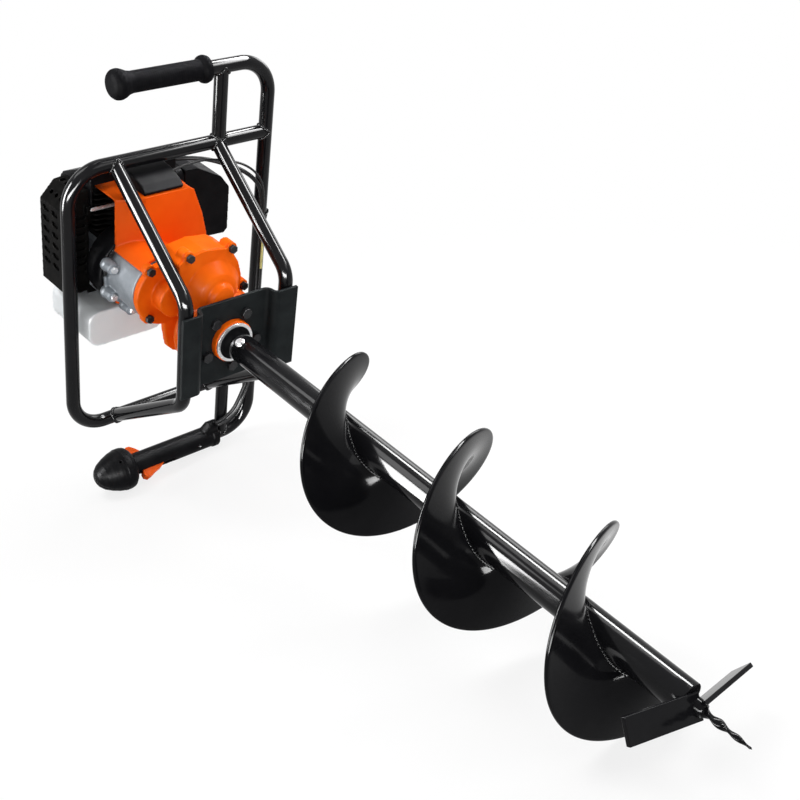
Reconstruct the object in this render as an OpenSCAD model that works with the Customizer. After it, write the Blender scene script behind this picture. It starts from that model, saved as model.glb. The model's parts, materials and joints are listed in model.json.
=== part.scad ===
// Petrol earth auger lying on the ground on its throttle handle and its bit.
// Sizes are in mm. Every piece is drawn in drill axes: X runs along the drive axis to the
// pilot point, Y runs from the grips to the handlebar run, Z is up. lay() then sets it down.

/* [Handles and frame] */
// Distance from the mounting plate back to the plane of the handles
handle_setback = 173; // [160:1:190]
// Distance between the upper and lower handle legs
handle_span = 593; // [520:1:640]
// Handlebar run, measured from the drive axis
handlebar_offset = 163; // [150:1:185]
// Distance between the top and bottom tubes of the loop
loop_span = 388; // [360:1:410]
// Left run of the loop, measured from the drive axis
loop_offset = 138; // [130:1:160]
// Outside diameter of the frame tubes
tube_d = 19; // [17:0.5:20]
// Wall of the frame tubes
tube_wall = 2; // [1.5:0.1:3]
// Radius of the tube bends
bend_r = 48; // [40:1:55]

/* [Mounting plate] */
// Top edge of the plate above the drive axis
plate_top = 60; // [54:1:66]
// Bottom edge of the plate below the drive axis
plate_bottom = 58; // [52:1:66]
// Thickness of the plate
plate_t = 4.5; // [3.5:0.5:5]
// How far the side lips stand in front of the flat
lip_step = 16; // [15:0.5:18]
// Half width of the flat on the right
flat_right = 50; // [48:0.5:54]
// Half width of the flat on the left
flat_left = 46; // [45:0.5:50]
// Edge of the right lip, measured from the drive axis
plate_right = 93; // [88:1:98]
// Edge of the left lip, measured from the drive axis
plate_left = 85; // [80:1:92]
// How far the drive boss stands in front of the flat
boss_out = 10; // [8:0.5:12]
// Pitch circle of the plate bolts
plate_pcd = 80; // [76:1:82]

/* [Bit] */
// Outside diameter of the flight
flight_d = 200; // [150:1:210]
// Pitch of the flight
flight_pitch = 189; // [170:1:200]
// Thickness of the flight
flight_t = 5; // [4:0.5:6]
// Outside diameter of the bit tube
bit_tube_d = 37.5; // [35:0.5:42]
// Diameter of the drive shaft in the bit socket
drive_d = 25; // [22:0.5:26]
// Diameter of the coupling pin
pin_d = 8; // [6:0.5:9]
// Length of the pilot point in front of the tube
pilot_length = 63; // [50:1:70]
// Width of the cutters
cutter_width = 30; // [24:1:34]
// Rake of the cutters
cutter_rake = 58; // [50:1:62]
// Sweep of the cutters
cutter_sweep = 14; // [8:1:18]

/* [Gear case] */
// Module of the first gear pair
module_1 = 1.25; // [1.2:0.01:1.26]
// Module of the second gear pair
module_2 = 2; // [1.9:0.01:2.01]
// Wall of the gear case
case_wall = 5; // [4:0.5:6]
// Radius of the drive boss
boss_r = 29; // [28:0.5:31]

/* [Engine] */
// Radius of the clutch housing
housing_r = 45; // [44:0.5:48]
// Radius of the fan housing
fan_r = 54; // [52:0.5:56]
// Height of the fan shroud above the crank axis
shroud_height = 111; // [106:1:112]
// Depth of the fuel tank
tank_height = 52; // [46:1:60]
// Length of the fuel tank
tank_length = 114; // [100:1:116]
// Number of cooling fins on the cylinder
fin_count = 8; // [6:1:9]

/* [Grips] */
// Diameter of the rubber grip
grip_d = 27; // [26:0.5:32]
// Diameter of the throttle handle
throttle_d = 33; // [32:0.5:35]
// Diameter of the throttle cable
cable_d = 6; // [5:0.5:6.5]

/* [Hidden] */
$fn = 64;
tube_r = tube_d / 2;
gap = 0.3;
hair = 0.15;
bulge = 0.06;
hx = -handle_setback;
leg_z = handle_span / 2;
loop_z = loop_span / 2;
run_y = handlebar_offset;
left_y = -loop_offset;
brace_y1 = -72;
brace_y2 = 83;
plate_x = -boss_out;
brace_x = plate_x + lip_step - plate_t - tube_r - hair;
brace_z = 76;
strut_y1 = 86;
strut_y2 = 113;
grip_in = 63;
grip_out = -78;
throttle_in = 101;
throttle_r = throttle_d / 2;
flight_start = 190;
flight_end = 743;
tube_end = 752;
socket_x = 11;
pin_x = 25;
pin_tilt = 34;
// Gear numbers and centres: crank, lay shaft and drive, as [y, z].
z1 = 12;
z2 = 60;
z3 = 10;
z4 = 50;
lay_c = [-9, 59.32];
crank_c = [-53.08, 50.28];
// Resting pose: pitch and roll that put the throttle handle and the flight on the floor.
tip_angle = 14.45;
roll_angle = -4.93;
seat = [-251.6, -20.43, 269.83];

// Rigid placing

module lay() {
    translate(seat)
        rotate([roll_angle, 0, 0])
            rotate([0, tip_angle, 0])
                children();
}

module along_x(x, c = [0, 0]) {
    translate([x, c[0], c[1]])
        rotate([0, 90, 0])
            children();
}

module rod_x(x0, x1, r, c = [0, 0]) {
    along_x(x0, c)
        cylinder(h = x1 - x0, r = r);
}

module rod_y(y0, y1, r, x, z) {
    translate([x, y0, z])
        rotate([-90, 0, 0])
            cylinder(h = y1 - y0, r = r);
}

module rod_z(z0, z1, r, x, y) {
    translate([x, y, z0])
        cylinder(h = z1 - z0, r = r);
}

module box(x0, x1, y0, y1, z0, z1) {
    translate([x0, y0, z0])
        cube([x1 - x0, y1 - y0, z1 - z0]);
}

// A box whose edges along one axis are round.
module soft_square(a, b, r) {
    translate([r, 0])
        square([a - 2 * r, b]);
    translate([0, r])
        square([a, b - 2 * r]);
    for (p = [[r, r], [a - r, r], [r, b - r], [a - r, b - r]])
        translate(p)
            circle(r = r, $fn = 32);
}

module soft_box_x(x0, x1, y0, y1, z0, z1, r) {
    translate([x0, y0, z0])
        rotate([90, 0, 90])
            linear_extrude(x1 - x0)
                soft_square(y1 - y0, z1 - z0, r);
}

module soft_box_y(x0, x1, y0, y1, z0, z1, r) {
    translate([x0, y1, z0])
        rotate([90, 0, 0])
            linear_extrude(y1 - y0)
                soft_square(x1 - x0, z1 - z0, r);
}

module soft_box_z(x0, x1, y0, y1, z0, z1, r) {
    translate([x0, y0, z0])
        linear_extrude(z1 - z0)
            soft_square(x1 - x0, y1 - y0, r);
}

function unit(v) = v / norm(v);
function side(a, b) = a[0] * b[1] - a[1] * b[0];
function turn(a, b, c) = atan2(side(b - a, c - b), (b - a) * (c - b));

// A round bar bent in the XY plane through the points p, with one bend radius.
// The bends are a hair fatter than the straights, as pressed bends are.
module bent_bar(p, rb, r) {
    n = len(p);
    for (i = [0 : n - 2]) {
        d = unit(p[i + 1] - p[i]);
        cut0 = i == 0 ? 0 : rb * tan(abs(turn(p[i - 1], p[i], p[i + 1])) / 2) - 1;
        cut1 = i == n - 2 ? 0 : rb * tan(abs(turn(p[i], p[i + 1], p[i + 2])) / 2) - 1;
        s = p[i] + d * cut0;
        translate([s[0], s[1], 0])
            rotate([0, 0, atan2(d[1], d[0])])
                rotate([0, 90, 0])
                    cylinder(h = norm(p[i + 1] - p[i]) - cut0 - cut1, r = r);
    }
    for (i = [1 : n - 2]) {
        d0 = unit(p[i] - p[i - 1]);
        d1 = unit(p[i + 1] - p[i]);
        a = turn(p[i - 1], p[i], p[i + 1]);
        cut = rb * tan(abs(a) / 2);
        sgn = a > 0 ? 1 : -1;
        s = p[i] - d0 * cut;
        c = s + sgn * rb * [-d0[1], d0[0]];
        e = p[i] + d1 * cut;
        from = sgn > 0 ? s - c : e - c;
        translate([c[0], c[1], 0])
            rotate([0, 0, atan2(from[1], from[0])])
                rotate_extrude(angle = abs(a))
                    translate([rb, 0])
                        circle(r = r + bulge);
    }
}

module bent_tube(p, rb, r, wall) {
    difference() {
        bent_bar(p, rb, r);
        bent_bar(p, rb, r - wall);
    }
}

// The XY plane of a bent tube stood up in the plane of the handles, as [y, z].
module in_handle_plane() {
    translate([hx, 0, 0])
        rotate([90, 0, 90])
            children();
}

// The XY plane of a bent tube stood up along the drive axis, as [x, z].
module in_side_plane(y) {
    translate([0, y, 0])
        rotate([90, 0, 0])
            children();
}

// Frame

handlebar_path = [
    [grip_out + 28, leg_z], [run_y, leg_z], [run_y, -leg_z], [32, -leg_z]
];

module handlebar() {
    color([0.05, 0.05, 0.06])
        in_handle_plane()
            bent_tube(handlebar_path, bend_r, tube_r, tube_wall);
}

module loop_tube() {
    color([0.05, 0.05, 0.06])
        difference() {
            in_handle_plane()
                bent_tube([[run_y, loop_z], [left_y, loop_z], [left_y, -loop_z], [run_y, -loop_z]],
                    bend_r, tube_r, tube_wall);
            rod_z(-loop_z - 40, loop_z + 40, tube_r + hair, hx, run_y);
        }
}

module brace(y) {
    color([0.05, 0.05, 0.06])
        difference() {
            in_side_plane(y)
                bent_tube([[hx, loop_z], [brace_x, brace_z], [brace_x, -brace_z], [hx, -loop_z]],
                    30, tube_r, tube_wall);
            for (s = [-1, 1])
                rod_y(y - 30, y + 30, tube_r + hair, hx, s * loop_z);
            rod_z(loop_z, leg_z, tube_r + hair, hx, strut_y1);
            rod_z(-leg_z, -loop_z, tube_r + hair, hx, strut_y2);
        }
}

module brace_left() {
    brace(brace_y1);
}

module brace_right() {
    brace(brace_y2);
}

module strut(y, s) {
    color([0.05, 0.05, 0.06])
        difference() {
            rod_z(min(s * loop_z, s * leg_z), max(s * loop_z, s * leg_z), tube_r, hx, y);
            rod_z(min(s * loop_z, s * leg_z) - 1, max(s * loop_z, s * leg_z) + 1,
                tube_r - tube_wall, hx, y);
            rod_y(y - 30, y + 30, tube_r + hair, hx, s * loop_z);
            in_handle_plane()
                bent_bar(handlebar_path, bend_r, tube_r + hair);
        }
}

module struts() {
    strut(strut_y1, 1);
    strut(strut_y2, -1);
}

// Plate section in [x, y]: flat middle, one S bend each side, lips in front of the braces.
module s_bend(flat, edge) {
    r = lip_step / 2;
    translate([r - plate_t / 2, flat])
        intersection() {
            difference() {
                circle(r = r + plate_t / 2);
                circle(r = r - plate_t / 2);
            }
            translate([-r - plate_t, 0])
                square([r + plate_t, r + plate_t]);
        }
    translate([r - plate_t / 2, flat + 2 * r])
        intersection() {
            difference() {
                circle(r = r + plate_t / 2);
                circle(r = r - plate_t / 2);
            }
            translate([0, -r - plate_t])
                square([r + plate_t, r + plate_t]);
        }
    translate([lip_step - plate_t, flat + 2 * r])
        square([plate_t, edge - flat - 2 * r]);
}

bolt_a = [for (k = [0 : 4]) 32 + 72 * k];

module plate() {
    color([0.16, 0.17, 0.18])
        difference() {
            translate([plate_x, 0, -plate_bottom])
                linear_extrude(plate_top + plate_bottom) {
                    translate([-plate_t, -flat_left])
                        square([plate_t, flat_left + flat_right]);
                    s_bend(flat_right, plate_right);
                    mirror([0, 1])
                        s_bend(flat_left, plate_left);
                }
            rod_x(plate_x - plate_t - 1, plate_x + 1, boss_r + 0.5);
            for (a = bolt_a)
                rotate([-a, 0, 0])
                    rod_x(plate_x - plate_t - 1, plate_x + 1, 4.3, [0, plate_pcd / 2]);
        }
}

module bolt_x(x, c, r, shank, af = 13, head = 5.3) {
    rod_x(x - shank, x + 0.1, r, c);
    along_x(x, c)
        cylinder(h = head, r = af / 2 / cos(30), $fn = 6);
}

module plate_bolts() {
    color([0.08, 0.08, 0.09])
        for (a = bolt_a)
            rotate([-a, 0, 0])
                bolt_x(plate_x + hair, [0, plate_pcd / 2], 4, 9.5);
}

// Gear case

bolt_front = [[-45, 115], [19.5, 112], [40, 52.5]];
bolt_rear = [[-80, 89], [-81.4, 21.2], [-42.7, 21.3]];
case_x0 = -88;
case_x1 = -46;
case_x2 = plate_x - plate_t - hair;
boss_x = plate_x + boss_out;
lay_r = module_1 * (z2 / 2 + 1) + 2.5;
out_r = module_2 * (z4 / 2 + 1) + 2;

// Flange of the lay gear's housing, as [y, z].
module case_top() {
    translate(lay_c)
        circle(r = lay_r + 3.2);
    polygon([
        [-60, 62], [-60, 108], [-50, 115], [-22, 119], [8, 115], [20, 108], [31, 90], [36.5, 70],
        [36.5, 40], [20, 10], [-15, 10]
    ]);
}

module extrude_x(x0, x1) {
    translate([x0, 0, 0])
        rotate([90, 0, 90])
            linear_extrude(x1 - x0)
                children();
}

// A bolt boss with a web back to the lay shaft.
module lug(p) {
    d = lay_c - p;
    translate(p) {
        circle(r = 8);
        rotate(atan2(d[1], d[0]))
            translate([0, -6.3])
                square([norm(d), 12.6]);
    }
}

module gear_case_front() {
    color([0.95, 0.36, 0.06])
        difference() {
            union() {
                extrude_x(case_x1 + hair, case_x1 + 3)
                    case_top();
                rod_x(case_x1 + hair, -29, out_r + case_wall);
                rod_x(-30, case_x2, out_r + case_wall - 2);
                along_x(-44, lay_c)
                    rotate_extrude()
                        polygon([
                            [0, 0], [42, 0], [40.5, 3], [37, 7], [33, 11.5], [29, 16], [24, 19],
                            [19.5, 20.5], [18, 24], [15, 28], [0, 28]
                        ]);
                for (p = bolt_front)
                    extrude_x(case_x1 + hair, case_x1 + 3)
                        lug(p);
                rod_x(case_x2 - 1, boss_x - 2.6, boss_r);
            }
            rod_x(case_x1 - 1, -21, out_r);
            rod_x(case_x1 - 1, -22.5, module_2 * (z3 / 2 + 1) + 2.2, lay_c);
            rod_x(-26, -18.5, 7.4 + gap, lay_c);
            rod_x(-22, boss_x, 20 + hair);
            for (p = bolt_front)
                rod_x(case_x1 - 1, case_x1 + 20, 3.2, p);
            for (a = bolt_a)
                rotate([-a, 0, 0])
                    rod_x(plate_x - 10.2, 0, 4.2, [0, plate_pcd / 2]);
        }
}

// Foot of the rear half below the clutch, as [y, z].
module case_foot() {
    polygon([
        [-66, 24], [-58, 12], [-55.5, -8], [-51, -32], [-43, -40], [-20, -52], [14, -50], [26, -30],
        [30, 20], [-10, 40]
    ]);
}

module gear_case_rear() {
    color([0.95, 0.36, 0.06])
        difference() {
            union() {
                extrude_x(case_x0, case_x1 - hair)
                    case_top();
                rod_x(case_x1 - 8, case_x1 - hair, out_r + case_wall);
                rod_x(-79, case_x1 - 1, 34);
                rod_x(case_x0 + 0.4, -77, 40 + case_wall, crank_c);
                rod_x(-78, -56, 24, crank_c);
                extrude_x(case_x0 + 0.8, -77.4)
                    case_foot();
                for (p = bolt_front)
                    extrude_x(case_x1 - 16, case_x1 - hair)
                        lug(p);
                for (p = bolt_rear)
                    rod_x(case_x0 + 1, -76.5, 8, p);
            }
            rod_x(case_x0 + 7, case_x1 + 1, lay_r, lay_c);
            rod_x(-60, case_x1 + 1, 20);
            rod_x(case_x0 + 7, case_x1 - 15, 14, crank_c);
            rod_x(-75, -59, 16 + hair);
            rod_x(case_x0 + 1.5, case_x0 + 8, 7.4 + gap, lay_c);
            rod_x(case_x0 - 1, case_x0 + 8, 13 + hair, crank_c);
            for (p = bolt_front)
                rod_x(case_x1 - 15, case_x1 + 1, 3.2, p);
            for (p = bolt_rear)
                rod_x(case_x0 + 0.6, -70, 3.2, p);
        }
}

module gear_case_bolts() {
    color([0.08, 0.08, 0.09]) {
        for (p = bolt_front)
            bolt_x(case_x1 + 3 + hair, p, 3, 16.5, 10, 5);
        for (p = bolt_rear)
            bolt_x(-76.5 + hair, p, 3, 9.5, 10, 5);
    }
}

module ring_x(x0, x1, ro, ri, c = [0, 0]) {
    difference() {
        rod_x(x0, x1, ro, c);
        rod_x(x0 - 1, x1 + 1, ri, c);
    }
}

module bearings() {
    color([0.7, 0.71, 0.73]) {
        ring_x(-20.5, -9.5, 20, drive_d / 2 + gap);
        ring_x(-74, -61, 16, 9 + gap);
        ring_x(case_x0 + 0.5, case_x0 + 7, 13, 6 + gap, crank_c);
    }
}

module oil_seal() {
    color([0.06, 0.06, 0.06])
        ring_x(-9.2, boss_x - 3, 19.8, drive_d / 2 + gap);
}

module boss_ring() {
    color([0.78, 0.79, 0.8])
        ring_x(boss_x - 2.4, boss_x, boss_r - 1.5, 18.5);
}

// Toothed wheel with slim straight teeth, so that the pairs run with backlash.
module toothed(n, m, slim = 0.62) {
    rp = n * m / 2;
    rr = rp - 1.2 * m;
    ra = rp + 0.85 * m;
    a = 360 / n;
    circle(r = rr, $fn = max(24, n));
    for (i = [0 : n - 1])
        rotate(i * a)
            polygon([
                [rr * cos(a * 0.36) - 0.3, -rr * sin(a * 0.36) * slim],
                [rp, -rp * sin(a * 0.25) * slim],
                [ra, -ra * sin(a * 0.13) * slim],
                [ra, ra * sin(a * 0.13) * slim],
                [rp, rp * sin(a * 0.25) * slim],
                [rr * cos(a * 0.36) - 0.3, rr * sin(a * 0.36) * slim]
            ]);
}

module drive_gear() {
    color([0.5, 0.51, 0.53])
        extrude_x(-40, -24)
            difference() {
                rotate(0)
                    toothed(z4, module_2);
                circle(r = drive_d / 2 + hair);
                for (i = [0 : 5])
                    rotate(i * 60)
                        translate([29, 0])
                            circle(r = 8);
            }
}

module drive_shaft() {
    color([0.62, 0.63, 0.65])
        difference() {
            union() {
                rod_x(-41, 66, drive_d / 2);
                rod_x(-73, -40.5, 9);
            }
            rotate([pin_tilt, 0, 0])
                rod_z(-20, 20, pin_d / 2 + hair, pin_x, 0);
        }
}

// Lay shaft: the angle puts a tooth of one wheel in a space of the other.
lay_dir = atan2(lay_c[1], lay_c[0]);
in_dir = atan2(crank_c[1] - lay_c[1], crank_c[0] - lay_c[0]);

module lay_shaft() {
    color([0.5, 0.51, 0.53]) {
        rod_x(case_x0 + 2, -19, 7.4, lay_c);
        extrude_x(-41, -23.5)
            translate(lay_c)
                rotate(lay_dir + 180 + 180 / z3 + lay_dir * z4 / z3)
                    toothed(z3, module_2);
        extrude_x(-75, -62)
            translate(lay_c)
                rotate(in_dir)
                    toothed(z2, module_1);
    }
}

module clutch_drum() {
    color([0.6, 0.61, 0.62]) {
        extrude_x(-77, -62)
            translate(crank_c)
                rotate(in_dir + 180 + 180 / z1)
                    toothed(z1, module_1);
        rod_x(-92, -76.5, 6, crank_c);
        difference() {
            rod_x(-118, -92, housing_r - 6, crank_c);
            rod_x(-119, -95, housing_r - 8.5, crank_c);
        }
    }
}

module clutch_shoes() {
    color([0.45, 0.44, 0.42])
        intersection() {
            ring_x(-114, -97, housing_r - 10, 20, crank_c);
            union() {
                box(-115, -96, crank_c[0] + 1.5, crank_c[0] + 40, crank_c[1] - 30, crank_c[1] + 30);
                box(-115, -96, crank_c[0] - 40, crank_c[0] - 1.5, crank_c[1] - 30, crank_c[1] + 30);
            }
        }
}

// Engine

shroud_x = -150.3;
lug_a = [-66, -112, -158, 156, 110];
fan_x0 = -186;
fan_x1 = -154.3;

module at_crank(x = 0) {
    translate([x, crank_c[0], crank_c[1]])
        children();
}

// Foot of the clutch housing, as [y, z]: lower half disc, ring and bolt lugs.
module housing_base() {
    translate(crank_c) {
        intersection() {
            circle(r = fan_r - 4);
            translate([-100, -100])
                square([200, 103]);
        }
        circle(r = housing_r - 0.8);
        for (a = lug_a)
            translate((housing_r + 6) * [sin(a), cos(a)])
                circle(r = 8.7);
    }
}

module clutch_housing() {
    color([0.62, 0.65, 0.68])
        difference() {
            union() {
                extrude_x(-150, -144)
                    housing_base();
                rod_x(-145, case_x0 - gap, housing_r, crank_c);
                for (a = lug_a)
                    at_crank()
                        rotate([-a, 0, 0])
                            rod_x(-145, -130, 8, [0, housing_r + 6]);
            }
            rod_x(-151, case_x0 + 1, housing_r - 4, crank_c);
            for (a = lug_a)
                at_crank()
                    rotate([-a, 0, 0])
                        rod_x(-151, -129, 2.7, [0, housing_r + 6]);
        }
}

module housing_bolts() {
    color([0.78, 0.79, 0.8])
        for (a = lug_a)
            at_crank()
                rotate([-a, 0, 0])
                    bolt_x(-130 + hair, [0, housing_r + 6], 2.5, 23, 8, 4);
}

module flywheel() {
    color([0.7, 0.71, 0.72])
        at_crank(-178)
            difference() {
                union() {
                    rotate([0, 90, 0])
                        cylinder(h = 8, r = fan_r - 8);
                    rotate([0, 90, 0])
                        cylinder(h = 20, r = 17);
                    for (i = [0 : 15])
                        rotate([i * 22.5, 0, 0])
                            translate([7, -1.2, 24])
                                cube([13, 2.4, fan_r - 34]);
                }
                rotate([0, 90, 0])
                    translate([0, 0, -1])
                        cylinder(h = 30, r = 8 + hair);
            }
}

module crankshaft() {
    color([0.55, 0.56, 0.58]) {
        rod_x(-270, -228, 7, crank_c);
        rod_x(-229, -221, 25, crank_c);
        rod_x(-222, -203, 10, crank_c);
        rod_x(-204, -196, 25, crank_c);
        rod_x(-197, -99, 8, crank_c);
        rod_x(-119, -97, 19.7, crank_c);
    }
}

// Cup round the fan, open at the front and above.
module fan_housing() {
    color([0.06, 0.06, 0.07])
        difference() {
            union() {
                rod_x(fan_x0, fan_x1, fan_r, crank_c);
                intersection() {
                    rod_x(fan_x1 - 1, shroud_x, fan_r, crank_c);
                    box(fan_x1 - 2, shroud_x + 1, -150, shroud_y - gap, 0, 150);
                }
            }
            rod_x(fan_x0 + 4, shroud_x + 1, fan_r - 4, crank_c);
            rod_x(fan_x0 - 1, fan_x0 + 5, 10, crank_c);
            box(fan_x0 + 6, fan_x1 + 1, crank_c[0] + 14, crank_c[0] + 34, crank_c[1], crank_c[1] + 70);
            for (a = lug_a)
                at_crank()
                    rotate([-a, 0, 0])
                        rod_x(-157, -140, 2.7, [0, housing_r + 6]);
        }
}

shroud_y = -84;
shroud_z = crank_c[1] + shroud_height;
hood_x = -130;
shroud_top = [
    [shroud_y, shroud_z - 5], [-62, shroud_z - 3.5], [-52, shroud_z], [12, shroud_z],
    [20, shroud_z - 4], [34, shroud_z - 41], [46, 72]
];

// Outline of the shroud as [y, z].
module shroud_outline() {
    polygon(concat(shroud_top, [[46, 42], [0, 20], [shroud_y, 40]]));
}

module shroud_face() {
    intersection() {
        union() {
            translate(crank_c)
                circle(r = fan_r);
            shroud_outline();
        }
        translate([shroud_y, -50])
            square([300, 400]);
    }
}

// The hood in front of the face, bevelled where the left brace passes.
module hood_plan(g) {
    polygon([
        [shroud_x - 0.3, shroud_y + g], [hood_x - g, -53 + g / 2], [hood_x - g, 80],
        [shroud_x - 0.3, 80]
    ]);
}

module hood(g) {
    intersection() {
        extrude_x(shroud_x - 0.2, hood_x + 1)
            intersection() {
                shroud_outline();
                translate([shroud_y, 74 + 2 * g])
                    square([126 - g, shroud_height - 24 - 3 * g]);
            }
        translate([0, 0, 60])
            linear_extrude(120)
                hood_plan(g);
    }
}

module shroud_skin(a, b) {
    pts = [for (i = [a : b]) shroud_top[i]];
    back = [for (i = [b : -1 : a]) shroud_top[i] + (i > 3 ? [-3.2, 0] : [0, -3.2])];
    polygon(concat(pts, back));
}

// Skirt of the shroud over the top of the clutch housing.
module skirt() {
    intersection() {
        translate(crank_c)
            circle(r = housing_r + 4.5);
        translate(crank_c)
            polygon([[0, 0], [-50, 52], [-50, 120], [120, 120], [120, 60]]);
    }
}

module fan_shroud() {
    color([0.95, 0.36, 0.06])
        difference() {
            union() {
                extrude_x(shroud_x - 3.7, shroud_x)
                    shroud_face();
                difference() {
                    hood(0);
                    hood(3);
                }
                extrude_x(-202, shroud_x - 1)
                    shroud_skin(0, 2);
                extrude_x(-185.5, shroud_x - 1)
                    shroud_skin(2, 3);
                extrude_x(shroud_x - 1, case_x0 - 1)
                    skirt();
                extrude_x(-182, shroud_x - 1)
                    shroud_skin(3, 6);
            }
            rod_x(-160, case_x0, housing_r + gap, crank_c);
            for (a = lug_a)
                at_crank()
                    rotate([-a, 0, 0])
                        rod_x(-160, -140, 2.7, [0, housing_r + 6]);
        }
}

case_x = -213;
cc_x0 = -240;
cc_x1 = fan_x0 - gap;
tank_y1 = -10;
tank_z1 = 0;

module crankcase() {
    color([0.6, 0.62, 0.65])
        difference() {
            union() {
                soft_box_x(cc_x0, cc_x1, crank_c[0] - 36, crank_c[0] + 36, crank_c[1] - 36,
                    crank_c[1] + 35, 12);
                rod_x(cc_x0 - 6, cc_x0 + 1, 18, crank_c);
                for (x = [case_x - 19, case_x + 9])
                    box(x, x + 10, crank_c[0] - 22, crank_c[0] + 22, tank_z1 + 0.2, crank_c[1] - 30);
            }
            rod_x(-232, -193, 27, crank_c);
            rod_x(-260, -180, 8 + gap, crank_c);
            rod_z(crank_c[1], crank_c[1] + 40, 22, case_x, crank_c[0]);
        }
}

cyl_z = crank_c[1] + 35 + hair;
port_z = cyl_z + 33;
head_z = cyl_z + 66;

module cylinder_block() {
    color([0.55, 0.57, 0.6])
        difference() {
            union() {
                rod_z(cyl_z, head_z, 27, case_x, crank_c[0]);
                soft_box_z(cc_x0 + 1, cc_x1 - 1, crank_c[0] - 34, crank_c[0] + 34, cyl_z, cyl_z + 6, 6);
                for (i = [0 : fin_count - 1])
                    soft_box_z(cc_x0, cc_x1 - 0.2, crank_c[0] - 40, crank_c[0] + 40,
                        cyl_z + 12 + i * 50 / (fin_count - 1),
                        cyl_z + 14.2 + i * 50 / (fin_count - 1), 8);
                box(case_x - 16, case_x + 16, crank_c[0] + 20, crank_c[0] + 46, port_z - 14, port_z + 13);
                box(case_x - 16, case_x + 16, crank_c[0] - 46, crank_c[0] - 20, port_z - 14, port_z + 13);
                box(cc_x1 - 4, -180 - gap, crank_c[0] - 13, crank_c[0] - 5, cyl_z + 38, cyl_z + 54);
            }
            rod_z(cyl_z - 1, head_z - 8, 22, case_x, crank_c[0]);
            rod_y(crank_c[0] + 15, crank_c[0] + 60, 9, case_x, port_z);
            rod_y(crank_c[0] - 60, crank_c[0] - 15, 9, case_x, port_z);
            rod_z(head_z - 20, head_z + 10, 5.2, case_x, crank_c[0]);
        }
}

module spark_plug() {
    color([0.9, 0.9, 0.88])
        translate([case_x, crank_c[0], head_z - 10]) {
            cylinder(h = 10.2, r = 5);
            translate([0, 0, 10.2])
                cylinder(h = 4.5, r = 9, $fn = 6);
            translate([0, 0, 14.6])
                cylinder(h = 7, r = 4.5);
        }
}

module ignition_coil() {
    color([0.05, 0.05, 0.05]) {
        box(-180, -162, crank_c[0] - 16, crank_c[0] + 12, crank_c[1] + fan_r + 0.2,
            crank_c[1] + fan_r + 24);
        translate([case_x, crank_c[0], head_z + 5])
            difference() {
                cylinder(h = 10.5, r = 8);
                translate([0, 0, -1])
                    cylinder(h = 8.2, r = 4.5 + hair);
            }
        hose([
            [-179, crank_c[0] + 5, crank_c[1] + fan_r + 14], [-183.2, crank_c[0] + 5, head_z - 20],
            [-183.6, crank_c[0] + 5, head_z + 0.5], [-190, crank_c[0] + 5, head_z + 4],
            [case_x + 14, crank_c[0] + 4.5, head_z + 11], [case_x + 6, crank_c[0] + 2, head_z + 13.8]
        ], 2.2, 4, 8);
    }
}

carb_y0 = crank_c[0] + 46.3;
carb_y1 = carb_y0 + 36;
filt_y0 = carb_y1 + gap;
filt_y1 = 116;
cover_y0 = crank_c[0] - 45;
cover_y1 = crank_c[0] + 44;
cover_z = head_z + 30;

// Side view of the cover as [x, z]: it slopes down to the starter.
module cover_side(g) {
    polygon([
        [-186.5 - g, cyl_z + 47 - 2 * g], [-186.5 - g, cover_z - g], [-202, cover_z - 1 - g],
        [-256 + g / 2, cover_z - 27 - g], [-262 + g, cover_z - 35], [-262 + g, cyl_z + 47 - 2 * g]
    ]);
}

module cowl_side(g) {
    polygon([
        [-189.4 + g, shroud_z + gap + g], [hood_x - 4 - g, shroud_z + gap + g],
        [hood_x - 2 - g, shroud_z + 4], [hood_x - 12, shroud_z + 11 - g],
        [hood_x - 32, shroud_z + 17.5 - g], [-189.4 + g, cover_z - g]
    ]);
}

// The part of the cover over the carburettor.
module carb_side(g) {
    polygon([
        [-186.5 - g, port_z + 32 - g], [-186.5 - g, cover_z - 6 - g], [-202, cover_z - 7 - g],
        [-246 + g, cover_z - 22 - g], [-246 + g, port_z + 32 - g]
    ]);
}

module across(y0, y1) {
    translate([0, y1, 0])
        rotate([90, 0, 0])
            linear_extrude(y1 - y0)
                children();
}

module engine_cover() {
    color([0.06, 0.06, 0.07])
        difference() {
            union() {
                across(cover_y0, cover_y1)
                    cover_side(0);
                across(crank_c[0], crank_c[0] + 58)
                    cowl_side(0);
                across(cover_y1 - 2, filt_y0 - gap)
                    carb_side(0);
            }
            across(cover_y0 + 3, cover_y1 - 3)
                cover_side(3);
            across(crank_c[0] + 3, crank_c[0] + 55)
                cowl_side(3);
            across(cover_y1 - 1, filt_y0 + 1)
                carb_side(3);
            box(-192, -186.4, cover_y0 + 3, cover_y1 - 3, cyl_z + 30, shroud_z + 1);
            for (i = [0 : 4])
                soft_box_z(-250 + i * 11, -245 + i * 11, crank_c[0] - 28, crank_c[0] + 28,
                    cover_z - 40, cover_z + 5, 2.4);
        }
}

guard_x1 = hx - tube_r - 4.5;
guard_x0 = guard_x1 - 53;
neck_x = min(case_x, guard_x1 - 20);
guard_y0 = -140;
guard_y1 = -101;
guard_z0 = 13.5;
muf_y0 = guard_y0 + 3 + gap;
muf_y1 = crank_c[0] - 52;

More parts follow.
